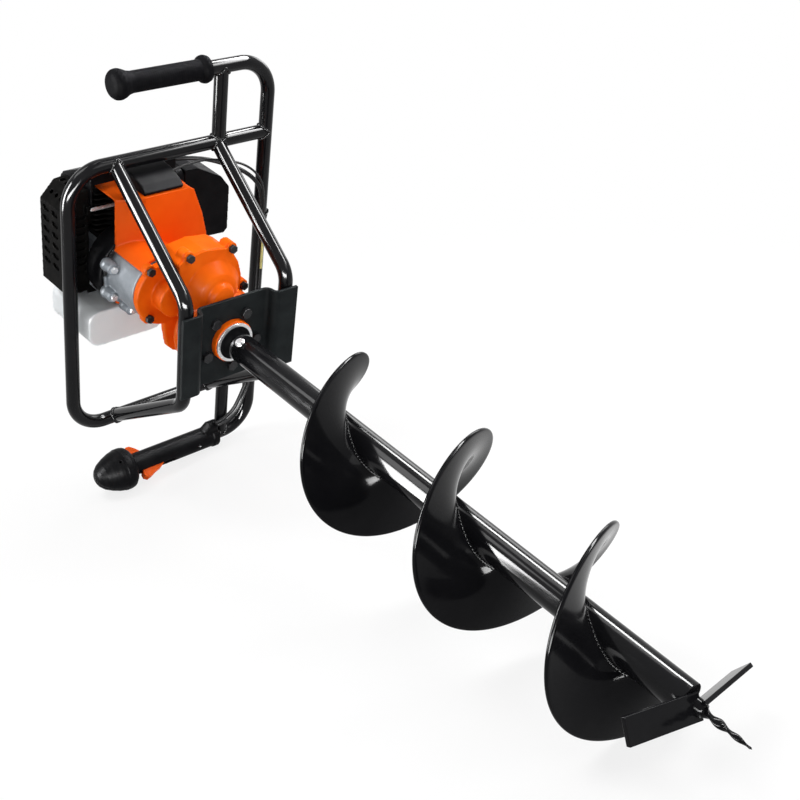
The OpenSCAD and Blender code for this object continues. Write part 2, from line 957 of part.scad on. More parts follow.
module muffler() {
    color([0.35, 0.34, 0.33])
        difference() {
            union() {
                soft_box_y(guard_x0 + 4, guard_x1 - 3, muf_y0, muf_y1, 44, 134, 12);
                rod_y(muf_y1 - 1, crank_c[0] - 46.2, 14, neck_x, port_z);
            }
            soft_box_y(guard_x0 + 6, guard_x1 - 5, muf_y0 + 2, muf_y1 - 2, 46, 132, 10);
            rod_y(muf_y1 - 3, crank_c[0] - 40, 9, neck_x, port_z);
            rod_x(guard_x1 - 6, guard_x1 + 7, 7, [muf_y0 + 14, 62]);
        }
}

module slot_y(x, z, w, h, y0, y1) {
    soft_box_y(x - w / 2, x + w / 2, y0, y1, z - h / 2, z + h / 2, min(w, h) / 2 - 0.01);
}

module slot_x(y, z, w, h, x0, x1) {
    soft_box_x(x0, x1, y - w / 2, y + w / 2, z - h / 2, z + h / 2, min(w, h) / 2 - 0.01);
}

module guard_side(g) {
    polygon([
        [guard_y0 + g, guard_z0 + 6], [guard_y0 + 6, guard_z0 + g], [guard_y1 + g, guard_z0 + g],
        [guard_y1 + g, 158 - g], [guard_y0 + 20, 156 - g], [guard_y0 + g, 134]
    ]);
}

module muffler_guard() {
    color([0.05, 0.05, 0.05])
        difference() {
            union() {
                extrude_x(guard_x0, guard_x1)
                    guard_side(0);
                box(guard_x1 - 2, -181, guard_y1 - 6, guard_y1, cyl_z + 40, cyl_z + 52);
                difference() {
                    box(guard_x1 - 3, guard_x1, guard_y1 - 3, crank_c[0] - 26, guard_z0 - 5, 46);
                    rod_x(guard_x1 - 9, guard_x1 + 9, fan_r + 1.6, crank_c);
                }
            }
            extrude_x(guard_x0 + 3, guard_x1 - 3)
                guard_side(3);
            for (i = [0 : 5])
                for (x = [guard_x0 + 14, guard_x0 + 36])
                    slot_y(x, 50 + i * 15, 15, 7, guard_y0 - 5, guard_y0 + 5);
            for (i = [0 : 7])
                slot_x(guard_y1 - 12, 44 + i * 11, 14, 4.4, guard_x1 - 5, guard_x1 + 1);
            for (i = [0 : 3])
                soft_box_z(guard_x0 + 7 + i * 12, guard_x0 + 13 + i * 12, guard_y0 + 24, guard_y1 - 6,
                    150, 170, 2.9);
            for (i = [0 : 3])
                translate([guard_x0 + 12 + i * 12, guard_y0 + 10, 145])
                    rotate([48, 0, 0])
                        cylinder(h = 30, r = 3, center = true, $fn = 24);
        }
}

module guard_stay() {
    color([0.8, 0.81, 0.82])
        rod_y(guard_y1 + 0.2, crank_c[0] - 13.2, 2.4, -183.5, cyl_z + 46);
}

module carburettor() {
    color([0.6, 0.6, 0.6])
        difference() {
            union() {
                box(case_x - 16, case_x + 16, carb_y0, carb_y0 + 7, port_z - 14, port_z + 14);
                soft_box_y(case_x - 18, case_x + 18, carb_y0 + 6, carb_y1, port_z - 18, port_z + 18, 6);
                rod_x(case_x + 17, case_x + 23, 6, [carb_y0 + 20, port_z]);
                rod_z(port_z + 17, port_z + 28, 8, case_x, carb_y0 + 20);
            }
            rod_y(carb_y0 - 1, carb_y1 + 1, 8, case_x, port_z);
        }
}

module filter_base() {
    color([0.06, 0.06, 0.07])
        difference() {
            soft_box_y(-246, -184, filt_y0, filt_y0 + 12, 50, 156, 12);
            soft_box_y(-243, -187, filt_y0 + 4, filt_y0 + 13, 53, 153, 9);
            rod_y(filt_y0 - 1, filt_y0 + 13, 8, case_x, port_z);
        }
}

module filter_foam() {
    color([0.2, 0.2, 0.2])
        soft_box_y(-243 + gap, -187 - gap, filt_y0 + 4.3, filt_y0 + 11.5, 53 + gap, 153 - gap, 9);
}

module filter_side(g) {
    polygon([
        [filt_y0 + 12.3, 50 + g], [filt_y1 - 6, 46 + g], [filt_y1 - g, 52], [filt_y1 - g, 116],
        [filt_y1 - 14, 134 - g], [filt_y1 - 52, 154 - g], [filt_y0 + 12.3, 156 - g]
    ]);
}

module filter_cover() {
    color([0.05, 0.05, 0.06])
        difference() {
            extrude_x(-246, -184)
                filter_side(0);
            extrude_x(-243, -187)
                filter_side(3);
            box(-243, -187, filt_y0 + 10, filt_y0 + 16, 53, 153);
            for (i = [0 : 4])
                slot_y(-215, 62 + i * 10, 40, 4, filt_y1 - 8, filt_y1 + 6);
        }
}

module choke_lever() {
    color([0.1, 0.1, 0.1])
        translate([case_x + 23.3, carb_y0 + 20, port_z]) {
            rotate([0, 90, 0])
                cylinder(h = 4, r = 6);
            rotate([-50, 0, 0])
                translate([0, 0, -3])
                    cube([3, 12, 6]);
            rotate([-50, 0, 0])
                translate([0, 10, -3.5])
                    cube([5, 9, 7]);
        }
}

module fuel_tank() {
    color([0.88, 0.9, 0.91])
        difference() {
            soft_box_x(-247, -150, tank_y1 - tank_length, tank_y1, tank_z1 - tank_height, tank_z1, 16);
            soft_box_x(-244.5, -152.5, tank_y1 - tank_length + 2.5, tank_y1 - 2.5,
                tank_z1 - tank_height + 2.5, tank_z1 - 2.5, 13.5);
            rod_x(-260, -140, fan_r + 3, crank_c);
            rod_z(tank_z1 - 10, tank_z1 + 10, 12, -222, tank_y1 - tank_length + 20);
        }
}

module fuel_cap() {
    color([0.06, 0.06, 0.06])
        translate([-222, tank_y1 - tank_length + 20, tank_z1 + 0.3])
            difference() {
                union() {
                    cylinder(h = 12, r = 17);
                    translate([0, 0, -8])
                        cylinder(h = 9, r = 11.6);
                }
                for (i = [0 : 11])
                    rotate([0, 0, i * 30])
                        translate([18.2, 0, 2])
                            cylinder(h = 11, r = 2.4, $fn = 16);
            }
}

start_x0 = -298;
start_x1 = cc_x0 - 6.3;

module starter_case() {
    color([0.06, 0.06, 0.07]) {
        difference() {
            union() {
                rod_x(start_x0 + 10, start_x1 - 10, 52, crank_c);
                along_x(start_x0, crank_c)
                    cylinder(h = 10.1, r1 = 42, r2 = 52);
                rod_x(start_x1 - 11, start_x1, 26, crank_c);
                box(-290, -269, crank_c[0] + 20, crank_c[0] + 60, crank_c[1] + 28, crank_c[1] + 50);
            }
            rod_x(start_x0 + 6, start_x0 + 11, 38, crank_c);
            rod_x(start_x0 + 10, start_x1 - 13, 48, crank_c);
            rod_x(start_x1 - 14, start_x1 + 1, 9, crank_c);
            box(-285.5, -273.5, crank_c[0] + 20, crank_c[0] + 57, crank_c[1] + 32, crank_c[1] + 46);
            rod_y(crank_c[0] + 50, crank_c[0] + 70, 4, -279.5, crank_c[1] + 39);
            for (i = [0 : 11])
                at_crank()
                    rotate([i * 30, 0, 0])
                        slot_x(0, 31, 6, 16, start_x0 - 5, start_x0 + 8);
        }
        rod_x(start_x0 + 3, -271.5, 7, crank_c);
    }
}

module starter_pulley() {
    color([0.2, 0.2, 0.21])
        difference() {
            union() {
                rod_x(-286.5, -283.5, 45, crank_c);
                rod_x(-284, -275, 36, crank_c);
                rod_x(-275.5, -272.5, 45, crank_c);
            }
            rod_x(-300, -270, 7 + gap, crank_c);
        }
}

module starter_handle() {
    color([0.05, 0.05, 0.05])
        translate([-279.5, crank_c[0] + 60.3, crank_c[1] + 39]) {
            rotate([-90, 0, 0])
                cylinder(h = 10, r = 6);
            translate([0, 13, 0])
                rotate([0, 90, 0])
                    translate([0, 0, -20])
                        cylinder(h = 40, r = 7);
        }
}

// Tubes and wires laid through their points.

function spline(p, i, t) =
    let (a = p[max(i - 1, 0)], b = p[i], c = p[i + 1], d = p[min(i + 2, len(p) - 1)])
    0.5 * (2 * b + (c - a) * t + (2 * a - 5 * b + 4 * c - d) * t * t
        + (3 * b - a - 3 * c + d) * t * t * t);
function dense(p, n) = [
    for (i = [0 : len(p) - 2])
        for (k = [0 : n - 1])
            spline(p, i, k / n),
    p[len(p) - 1]
];
function tangent(q, i) = unit(q[min(i + 1, len(q) - 1)] - q[max(i - 1, 0)]);

// Parallel frame: the first normal is carried along the path.
function carried(q, u, i) =
    i == len(q) ? [] :
    let (t = tangent(q, i), v = unit(u - t * (u * t)))
    concat([v], carried(q, v, i + 1));

module hose(p, r, n = 6, sides = 12, u0 = [0.31, 0.87, 0.4]) {
    q = dense(p, n);
    f = carried(q, u0, 0);
    m = len(q);
    pts = [
        for (i = [0 : m - 1])
            let (t = tangent(q, i), w = cross(t, f[i]))
            for (k = [0 : sides - 1])
                q[i] + r * (cos(360 * k / sides) * f[i] + sin(360 * k / sides) * w)
    ];
    faces = concat(
        [[for (k = [0 : sides - 1]) sides - 1 - k]],
        [
            for (i = [0 : m - 2])
                for (k = [0 : sides - 1])
                    [
                        i * sides + k, i * sides + (k + 1) % sides,
                        (i + 1) * sides + (k + 1) % sides, (i + 1) * sides + k
                    ]
        ],
        [[for (k = [0 : sides - 1]) (m - 1) * sides + k]]
    );
    polyhedron(points = pts, faces = [for (a = faces) [for (j = [len(a) - 1 : -1 : 0]) a[j]]]);
}

module fuel_lines() {
    color([0.3, 0.3, 0.28])
        for (x = [0, -16])
            hose([
                [case_x + 9 + x, carb_y0 + 22, port_z - 18.9], [case_x + 11 + x, carb_y0 + 24, port_z - 40],
                [case_x + 15 + x, carb_y0 + 19, 48], [case_x + 20 + x, carb_y0 + 8, 20],
                [case_x + 24 + x, tank_y1 - 6, tank_z1 + 0.5]
            ], 2.6, 5, 10);
}

cable_x = hx + tube_r + cable_d / 2 + 0.4;
cable_y = run_y - 6;

module throttle_cable() {
    color([0.04, 0.04, 0.04])
        hose([
            [cable_x, throttle_in - 6, -leg_z + 30], [cable_x, throttle_in + 8, -leg_z + 34],
            [cable_x, throttle_in + 26, -leg_z + 46], [cable_x, run_y - 22, -leg_z + 72],
            [cable_x, cable_y - 6, -leg_z + 100], [cable_x, cable_y, -leg_z + 150],
            [cable_x, cable_y, -60], [cable_x, cable_y, 40], [cable_x, cable_y - 1, 90],
            [cable_x, cable_y - 10, 122], [cable_x - 4, cable_y - 34, 146],
            [hx - 6, cable_y - 66, 160], [hx - 16, 66, 166], [-203, 42, 165],
            [-210, 24, 162], [case_x, carb_y0 + 20, port_z + 36],
            [case_x, carb_y0 + 20, port_z + 28.5]
        ], cable_d / 2, 5);
}

wire_x = cable_x + cable_d / 2 + 2.2;

module stop_wire() {
    color([0.75, 0.7, 0.3])
        hose([
            [wire_x, throttle_in - 6, -leg_z + 30], [wire_x, throttle_in + 9, -leg_z + 33],
            [wire_x, throttle_in + 28, -leg_z + 46], [wire_x, run_y - 20, -leg_z + 72],
            [wire_x, cable_y - 6, -leg_z + 100], [wire_x, cable_y, -leg_z + 150],
            [wire_x, cable_y, -60], [wire_x, cable_y, 40], [wire_x, cable_y - 2, 96],
            [wire_x, cable_y - 12, 134], [wire_x - 2, cable_y - 40, 160],
            [hx + 4, 78, 170], [hx + 6, 40, 174], [-164, crank_c[0] + 58.4, shroud_z + 10]
        ], 1.6, 5, 8);
}

module cable_ties() {
    color([0.03, 0.03, 0.03])
        for (z = [-130, 70])
            translate([0, 0, z])
                difference() {
                    soft_box_z(hx - tube_r - 2.2, wire_x + 4, run_y - tube_r - 2.2, run_y + tube_r + 2.2,
                        -3, 3, 6);
                    soft_box_z(hx - tube_r - 0.4, wire_x + 2.2, run_y - tube_r - 0.4,
                        run_y + tube_r + 0.4, -4, 4, 4);
                }
}

// Bit

module bit_tube() {
    color([0.04, 0.04, 0.05])
        difference() {
            rod_x(socket_x, tube_end, bit_tube_d / 2);
            rod_x(socket_x - 1, 72, drive_d / 2 + hair);
            rod_x(84, tube_end - 12, bit_tube_d / 2 - 4);
            rotate([pin_tilt, 0, 0])
                rod_z(-40, 40, pin_d / 2 + hair, pin_x, 0);
        }
}

// Helical ribbon: every section is a flat bar on the radius, turned by the pitch.
flight_steps = 144;
flight_turns = (flight_end - flight_start) / flight_pitch;
flight_phase = 360 * (flight_start - 217.6) / flight_pitch;

function flight_corner(a, r, s) = [
    flight_start + (flight_end - flight_start) * a + s * flight_t / 2,
    -r * sin(flight_phase + 360 * flight_turns * a),
    r * cos(flight_phase + 360 * flight_turns * a)
];

// The first end is rounded off, as seen from the side.
function flight_rim(a) =
    let (b = a * flight_turns * 360 / 52, ri = bit_tube_d / 2 + 12)
    b >= 1 ? flight_d / 2 : ri + (flight_d / 2 - ri) * sqrt(1 - (1 - b) * (1 - b));

module flight() {
    ri = bit_tube_d / 2 + hair;
    pts = [
        for (i = [0 : flight_steps])
            let (a = i / flight_steps, ro = flight_rim(a))
            each [
                flight_corner(a, ri, -1), flight_corner(a, ro, -1),
                flight_corner(a, ro, 1), flight_corner(a, ri, 1)
            ]
    ];
    quads = [
        for (i = [0 : flight_steps - 1])
            for (k = [0 : 3])
                let (a = 4 * i + k, b = 4 * i + (k + 1) % 4, c = b + 4, d = a + 4)
                each [[a, b, c], [a, c, d]]
    ];
    n = 4 * flight_steps;
    color([0.04, 0.04, 0.05])
        polyhedron(points = pts, faces = concat(
            [[3, 2, 1, 0]], quads, [[n, n + 1, n + 2, n + 3]]), convexity = 10);
}

// One cutter: a plate raked about its own length and swept back from the root.
cutter_root = [tube_end + 1.5, -8.5, 6];
cutter_reach = 91.5;

module cutter() {
    translate(cutter_root)
        rotate([-cutter_sweep, cutter_rake, -1.7])
            translate([-cutter_width / 2, -cutter_reach, -2.5])
                cube([cutter_width, cutter_reach + 2, 5]);
}

module cutters() {
    color([0.05, 0.05, 0.06])
        difference() {
            for (a = [0, 180])
                rotate([a, 0, 0])
                    cutter();
            rod_x(0, tube_end + hair, bit_tube_d / 2 + hair);
            rod_x(tube_end - 5, tube_end + 60, 9 + hair);
        }
}

module pilot_point() {
    color([0.05, 0.05, 0.05]) {
        rod_x(tube_end + hair, tube_end + 12, 9);
        along_x(tube_end + 11)
            linear_extrude(height = pilot_length - 11, twist = -540, scale = 0.3, slices = 40,
                segments = 8)
                polygon([[6.5, -2.4], [6.5, 2.4], [3, 3.4], [-3, 3.4],
                    [-6.5, 2.4], [-6.5, -2.4], [-3, -3.4], [3, -3.4]]);
    }
}

module coupling_pin() {
    color([0.75, 0.76, 0.78])
        rotate([pin_tilt, 0, 0]) {
            rod_z(-bit_tube_d / 2 - 1, bit_tube_d / 2 + 5, pin_d / 2, pin_x, 0);
            translate([pin_x, 0, -bit_tube_d / 2 - 5])
                cylinder(h = 4.6, r = pin_d * 0.8);
        }
}

module pin_clip() {
    color([0.8, 0.81, 0.82])
        rotate([pin_tilt, 0, 0])
            translate([pin_x, 0, bit_tube_d / 2 + 2.6])
                difference() {
                    rotate_extrude()
                        translate([pin_d / 2 + 1.4, 0])
                            circle(r = 1.2, $fn = 24);
                    translate([2, -2, -3])
                        cube([20, 4, 6]);
                }
}

// Grips

module rubber_grip() {
    color([0.05, 0.05, 0.05])
        translate([hx, 0, leg_z])
            rotate([-90, 0, 0])
                difference() {
                    translate([0, 0, grip_out])
                        rotate_extrude()
                            polygon([
                                [0, 0], [10.5, 0.6], [15.6, 3], [18.8, 8], [19.2, 12], [17.9, 17],
                                [grip_d / 2 + 1, 25], [grip_d / 2, 32], [grip_d / 2, 128],
                                [grip_d / 2 + 3.5, 132], [grip_d / 2 + 4.4, 136],
                                [grip_d / 2 + 3, 141], [0, 141]
                            ]);
                    translate([0, 0, grip_out + 27.8])
                        cylinder(h = 200, r = tube_r + hair);
                }
}

// The throttle handle is drawn with its trigger below and turned to face the bit.
module face_bit() {
    translate([hx, 0, -leg_z])
        rotate([0, -60, 0])
            translate([-hx, 0, leg_z])
                children();
}

head_y = -66;
head_r = 33;

module throttle_form() {
    rod_y(head_y, throttle_in, throttle_r, hx, -leg_z);
    rod_y(throttle_in - 9, throttle_in + 1, throttle_r + 1.6, hx, -leg_z);
    translate([hx, 0, -leg_z])
        rotate([-90, 0, 0])
            rotate_extrude()
                polygon(concat(
                    [[0, head_y + 20]],
                    [for (i = [0 : 11]) [head_r * pow(sin(i * 7.5), 1.6), head_y - 40 * cos(i * 7.5)]],
                    [for (a = [0 : 15 : 90])
                        [throttle_r - 0.4 + (head_r - throttle_r) * cos(a), head_y + 20 * sin(a)]]
                ));
    hull() {
        rod_y(78, 101, 10, hx, -leg_z + 6);
        rod_y(84, 99, 8, hx + 6, -leg_z + 24);
    }
}

trigger_w = 12;
lock_w = 8;

module throttle_cut() {
    rod_y(30, 140, tube_r + hair, hx, -leg_z);
    box(hx - 8, hx + 8, 22, 60, -leg_z + 9.7, -leg_z + 13);
    for (x = [cable_x, wire_x])
        rod_y(90, 140, cable_d / 2 + 0.4, x, -leg_z + 30);
    face_bit() {
        box(hx - trigger_w / 2 - gap, hx + trigger_w / 2 + gap, -58, 22, -leg_z - 26, -leg_z + 10);
        box(hx - lock_w / 2 - gap, hx + lock_w / 2 + gap, -50, -22, -leg_z, -leg_z + 40);
        for (y = [-72, 66])
            rod_x(hx - 40, hx + 40, 2.2, [y, y < 0 ? -leg_z + 2 : -leg_z - 13]);
    }
}

module throttle_upper() {
    color([0.05, 0.05, 0.05])
        difference() {
            intersection() {
                throttle_form();
                face_bit()
                    box(hx + hair, hx + 60, -140, 140, -leg_z - 60, -leg_z + 60);
            }
            throttle_cut();
        }
}

module throttle_lower() {
    color([0.05, 0.05, 0.05])
        difference() {
            intersection() {
                throttle_form();
                face_bit()
                    box(hx - 60, hx - hair, -140, 140, -leg_z - 60, -leg_z + 60);
            }
            throttle_cut();
        }
}

trigger_pivot = [4, -leg_z - 6];

module trigger() {
    color([0.95, 0.32, 0.06])
        face_bit()
            translate([hx, trigger_pivot[0], trigger_pivot[1]])
                rotate([90, 0, 90])
                    translate([0, 0, -trigger_w / 2])
                        linear_extrude(trigger_w) {
                            circle(r = 5, $fn = 32);
                            polygon([
                                [3, 3], [-24, 1], [-36, -5], [-41, -12], [-41, -18], [-36, -22],
                                [-28, -20], [-19, -16], [-9, -13], [2, -5]
                            ]);
                        }
}

lock_pivot = [-26, -leg_z + 13];

module lockout() {
    color([0.95, 0.32, 0.06])
        face_bit()
            translate([hx, lock_pivot[0], lock_pivot[1]])
                rotate([90, 0, 90])
                    translate([0, 0, -lock_w / 2])
                        linear_extrude(lock_w) {
                            circle(r = 3, $fn = 24);
                            polygon([
                                [2, 3], [-3, 9], [-10, 15], [-16, 15.5], [-19, 6], [-19, 0], [-10, -3], [0, -3]
                            ]);
                        }
}

module handle_screws() {
    color([0.6, 0.61, 0.63])
        face_bit()
            for (y = [-72, 66])
                rod_x(hx - (y < 0 ? 24 : 8), hx + (y < 0 ? 24 : 8), 2,
                    [y, y < 0 ? -leg_z + 2 : -leg_z - 13]);
}

lay() handlebar();
lay() loop_tube();
lay() brace_left();
lay() brace_right();
lay() struts();
lay() plate();
lay() plate_bolts();
lay() gear_case_front();
lay() gear_case_rear();
lay() gear_case_bolts();
lay() bearings();
lay() boss_ring();
lay() oil_seal();
lay() drive_shaft();
lay() drive_gear();
lay() lay_shaft();
lay() clutch_drum();
lay() clutch_shoes();
lay() flywheel();
lay() crankshaft();
lay() clutch_housing();
lay() housing_bolts();
lay() fan_housing();
lay() fan_shroud();
lay() crankcase();
lay() cylinder_block();  // cylinder
lay() spark_plug();
lay() ignition_coil();
lay() engine_cover();
lay() muffler();
lay() muffler_guard();
lay() guard_stay();
lay() carburettor();
lay() choke_lever();
lay() filter_base();
lay() filter_foam();
lay() filter_cover();
lay() fuel_tank();
lay() fuel_cap();
lay() fuel_lines();
lay() starter_case();
lay() starter_pulley();
lay() starter_handle();
lay() bit_tube();
lay() flight();
lay() cutters();
lay() pilot_point();
lay() coupling_pin();
lay() pin_clip();
lay() rubber_grip();
lay() throttle_upper();
lay() throttle_lower();
lay() trigger();
lay() lockout();
lay() handle_screws();
lay() throttle_cable();
lay() stop_wire();
lay() cable_ties();
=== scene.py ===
# %% [markdown]
# An earth auger: a small engine and gear case in a frame of bent tube, two handles, and a helical bit.
# The imported CAD model is the frame of this scene. It is loaded first, and every new piece is placed in
# the same metres, so nothing has to be fitted by eye.

import json
import math

import bmesh
import bpy
import numpy as np
from mathutils import Matrix

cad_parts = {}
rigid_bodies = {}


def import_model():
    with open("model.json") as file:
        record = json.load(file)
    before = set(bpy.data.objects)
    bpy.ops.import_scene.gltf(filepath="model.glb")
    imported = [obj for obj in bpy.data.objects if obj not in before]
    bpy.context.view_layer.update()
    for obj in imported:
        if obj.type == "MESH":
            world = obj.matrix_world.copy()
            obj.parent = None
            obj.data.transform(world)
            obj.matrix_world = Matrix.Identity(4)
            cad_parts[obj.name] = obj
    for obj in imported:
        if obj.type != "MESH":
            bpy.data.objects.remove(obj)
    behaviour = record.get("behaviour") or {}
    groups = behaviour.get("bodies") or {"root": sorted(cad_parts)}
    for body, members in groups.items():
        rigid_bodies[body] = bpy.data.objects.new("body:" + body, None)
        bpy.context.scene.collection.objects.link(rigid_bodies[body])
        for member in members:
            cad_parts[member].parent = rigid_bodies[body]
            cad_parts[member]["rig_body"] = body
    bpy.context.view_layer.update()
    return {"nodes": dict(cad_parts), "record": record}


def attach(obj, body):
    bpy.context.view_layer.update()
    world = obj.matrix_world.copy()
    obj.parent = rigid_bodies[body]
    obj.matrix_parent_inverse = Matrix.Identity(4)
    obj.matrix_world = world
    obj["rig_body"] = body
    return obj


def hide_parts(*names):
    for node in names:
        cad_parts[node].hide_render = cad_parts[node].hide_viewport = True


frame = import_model()
nodes = frame["nodes"]
slot_of = {s["node"]: s["material_slot"] for s in frame["record"]["subparts"]}

# %% [markdown]
# The auger is drawn in its own axes, in millimetres: X along the drive shaft to the tip, Y away from the
# hands, Z from the throttle handle to the upper grip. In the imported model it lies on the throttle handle
# and the edge of the bit. One rotation and one shift take drawing points to metres in that pose.

# %% From drawing millimetres to the resting pose
PITCH, ROLL = math.radians(14.45), math.radians(-4.93)
SEAT = np.array([-251.6, -20.43, 269.83])
TURN_Y = np.array(
    [[math.cos(PITCH), 0, math.sin(PITCH)], [0, 1, 0], [-math.sin(PITCH), 0, math.cos(PITCH)]]
)
TURN_X = np.array(
    [[1, 0, 0], [0, math.cos(ROLL), -math.sin(ROLL)], [0, math.sin(ROLL), math.cos(ROLL)]]
)
LAY = TURN_X @ TURN_Y


def row(points):
    """Drawing millimetres to metres in the resting pose: turn by pitch, then roll, then shift to the seat."""
    return (np.asarray(points, float) @ LAY.T + SEAT) / 1000.0


# %% [markdown]
# The camera stands where the photograph was taken. Its place and its three directions were worked out
# from straight tubes and the drive axis, so they are given here as numbers. The focal length is 1268
# pixels on an 800 pixel frame, which is 57 mm on a 36 mm sensor.

# %% Camera
RIGHT = LAY @ np.array([0.662763, 0.738827, 0.121982])
DOWN = LAY @ np.array([0.489609, -0.304294, -0.817122])
AWAY = LAY @ np.array([-0.566593, 0.601282, -0.563412])
EYE = row([1106.79, -851.19, 889.18])
camera_data = bpy.data.cameras.new("camera")
camera_data.lens = 36.0 * 1268.0 / 800.0
camera_data.clip_start, camera_data.clip_end = 0.05, 60.0
camera = bpy.data.objects.new("camera", camera_data)
pose = np.eye(4)
pose[:3, 0], pose[:3, 1], pose[:3, 2], pose[:3, 3] = RIGHT, -DOWN, -AWAY, EYE
camera.matrix_world = Matrix(pose.tolist())
bpy.context.scene.collection.objects.link(camera)
bpy.context.scene.camera = camera
print("camera at", np.round(EYE, 3))

# %% [markdown]
# A catalogue picture has a white sweep of paper. The floor and the world are white to the camera, and
# also to mirror rays, so that gloss paint shows the same studio. Other rays meet a plain pale floor and
# a softer sky, so the light on the object stays at a level where a colour looks as it is written. The
# floor keeps part of its real shading round the object, and that part carries the shadow. Farther out it
# goes over to plain white.

# %% Studio floor and sky
scene = bpy.context.scene
scene.view_settings.view_transform = "Standard"


def seen_directly(tree):
    """One where a ray comes from the camera, a mirror reflection or glass, zero elsewhere."""
    path = tree.nodes.new("ShaderNodeLightPath")
    first = tree.nodes.new("ShaderNodeMath")
    first.operation = "MAXIMUM"
    tree.links.new(path.outputs["Is Camera Ray"], first.inputs[0])
    tree.links.new(path.outputs["Is Glossy Ray"], first.inputs[1])
    second = tree.nodes.new("ShaderNodeMath")
    second.operation = "MAXIMUM"
    tree.links.new(first.outputs[0], second.inputs[0])
    tree.links.new(path.outputs["Is Transmission Ray"], second.inputs[1])
    return second.outputs[0]


SKY_LIGHT = 0.52
world = bpy.data.worlds.new("studio_sky")
scene.world = world
world.use_nodes = True
tree = world.node_tree
sky = tree.nodes["Background"]
sky.inputs["Color"].default_value = (1, 1, 1, 1)
level = tree.nodes.new("ShaderNodeMapRange")
level.inputs["To Min"].default_value = SKY_LIGHT
level.inputs["To Max"].default_value = 1.0
tree.links.new(seen_directly(tree), level.inputs["Value"])
tree.links.new(level.outputs["Result"], sky.inputs["Strength"])

paper = bpy.data.materials.new("studio_paper")
paper.use_nodes = True
tree = paper.node_tree
tree.nodes.clear()
out = tree.nodes.new("ShaderNodeOutputMaterial")
matt = tree.nodes.new("ShaderNodeBsdfDiffuse")
matt.inputs["Color"].default_value = (0.86, 0.86, 0.86, 1)
glow = tree.nodes.new("ShaderNodeEmission")
glow.inputs["Strength"].default_value = 1.0
shaded = tree.nodes.new("ShaderNodeMixShader")
where = tree.nodes.new("ShaderNodeTexCoord")
distance = tree.nodes.new("ShaderNodeVectorMath")
distance.operation = "LENGTH"
fade = tree.nodes.new("ShaderNodeMapRange")
fade.interpolation_type = "SMOOTHSTEP"
fade.inputs["From Min"].default_value, fade.inputs["From Max"].default_value = 0.5, 1.3
fade.inputs["To Min"].default_value, fade.inputs["To Max"].default_value = 0.8, 1.0
tree.links.new(where.outputs["Object"], distance.inputs[0])
tree.links.new(distance.outputs["Value"], fade.inputs["Value"])
tree.links.new(fade.outputs["Result"], shaded.inputs["Fac"])
chosen = tree.nodes.new("ShaderNodeMixShader")
tree.links.new(matt.outputs[0], shaded.inputs[1])
tree.links.new(glow.outputs[0], shaded.inputs[2])
tree.links.new(seen_directly(tree), chosen.inputs["Fac"])
tree.links.new(matt.outputs[0], chosen.inputs[1])
tree.links.new(shaded.outputs[0], chosen.inputs[2])
tree.links.new(chosen.outputs[0], out.inputs["Surface"])

floor_mesh = bpy.data.meshes.new("studio_floor")
reach = 14.0
floor_mesh.from_pydata(
    [(-reach, -reach, 0), (reach, -reach, 0), (reach, reach, 0), (-reach, reach, 0)], [], [(0, 1, 2, 3)]
)
floor_mesh.materials.append(paper)
floor = bpy.data.objects.new("studio_floor", floor_mesh)
scene.collection.objects.link(floor)
print("floor at z = 0, sky light", SKY_LIGHT)

# %% [markdown]
# Soft boxes shape the castings. Three large panels, at the left, low in front and over the bit, draw the
# white bands that tell the eye that a tube is round and glossy. A band is as wide as the panel looks from
# the tube, and as long as the panel, so they are wide and long. They are switched off for matt light, or
# they would wash out the colours.

# %% Lamps
TARGET = row([120, 0, 0])


def lamp(name, place, width, height, watts, along=RIGHT, aim=TARGET):
    """An area lamp at a place in metres, facing the aim, with its width turned along a direction."""
    data = bpy.data.lights.new(name, "AREA")
    data.shape = "RECTANGLE"
    data.size, data.size_y, data.energy = width, height, watts
    lamp_object = bpy.data.objects.new(name, data)
    ahead = aim - place
    ahead = ahead / np.linalg.norm(ahead)
    side = along - (along @ ahead) * ahead
    side = side / np.linalg.norm(side)
    axes = np.eye(4)
    axes[:3, 0], axes[:3, 1], axes[:3, 2] = side, np.cross(-ahead, side), -ahead
    axes[:3, 3] = place
    lamp_object.matrix_world = Matrix(axes.tolist())
    scene.collection.objects.link(lamp_object)
    return lamp_object


def from_eye(right, up, back):
    """A place given from the target in the camera's directions, in metres."""
    return TARGET + right * RIGHT - up * DOWN - back * AWAY


UPRIGHT = LAY @ np.array([0, 0, 1.0])
FORWARD = LAY @ np.array([1.0, 0, 0])
lamp("key_box", from_eye(-1.1, 1.7, 0.9), 1.1, 0.9, 27)
lamp("fill_box", from_eye(1.6, 0.9, 1.2), 1.0, 1.0, 11.5)
lamp("back_box", from_eye(0.9, 1.6, -1.3), 1.0, 0.8, 14)
lamp("top_box", from_eye(0.5, 1.9, 0.5), 1.2, 0.6, 14)
PANEL_SPREAD = math.radians(100)
for name, place_at, width, height, watts, along, aim in (
    ("left_panel", from_eye(-1.7, 0.1, 0.7), 1.9, 0.6, 125, UPRIGHT, TARGET),
    ("low_panel", from_eye(0.0, -0.66, 1.5), 1.9, 0.4, 80, RIGHT, TARGET),
    ("bit_panel", from_eye(1.1, 1.6, 0.2), 2.2, 0.4, 75, FORWARD, row([520, 0, 0])),
):
    panel = lamp(name, place_at, width, height, watts, along=along, aim=aim)
    panel.visible_diffuse = False
    panel.visible_camera = False
    panel.data.spread = PANEL_SPREAD

# %% [markdown]
# Every finish is a Principled shader with its own texture on Object coordinates, so the grain has a real
# size in millimetres and moves with its piece. A few helpers add the nodes: noise for grain, a ramp for
# colour, a range for roughness and a bump for relief.

# %% Helpers for finishes
finishes = {}


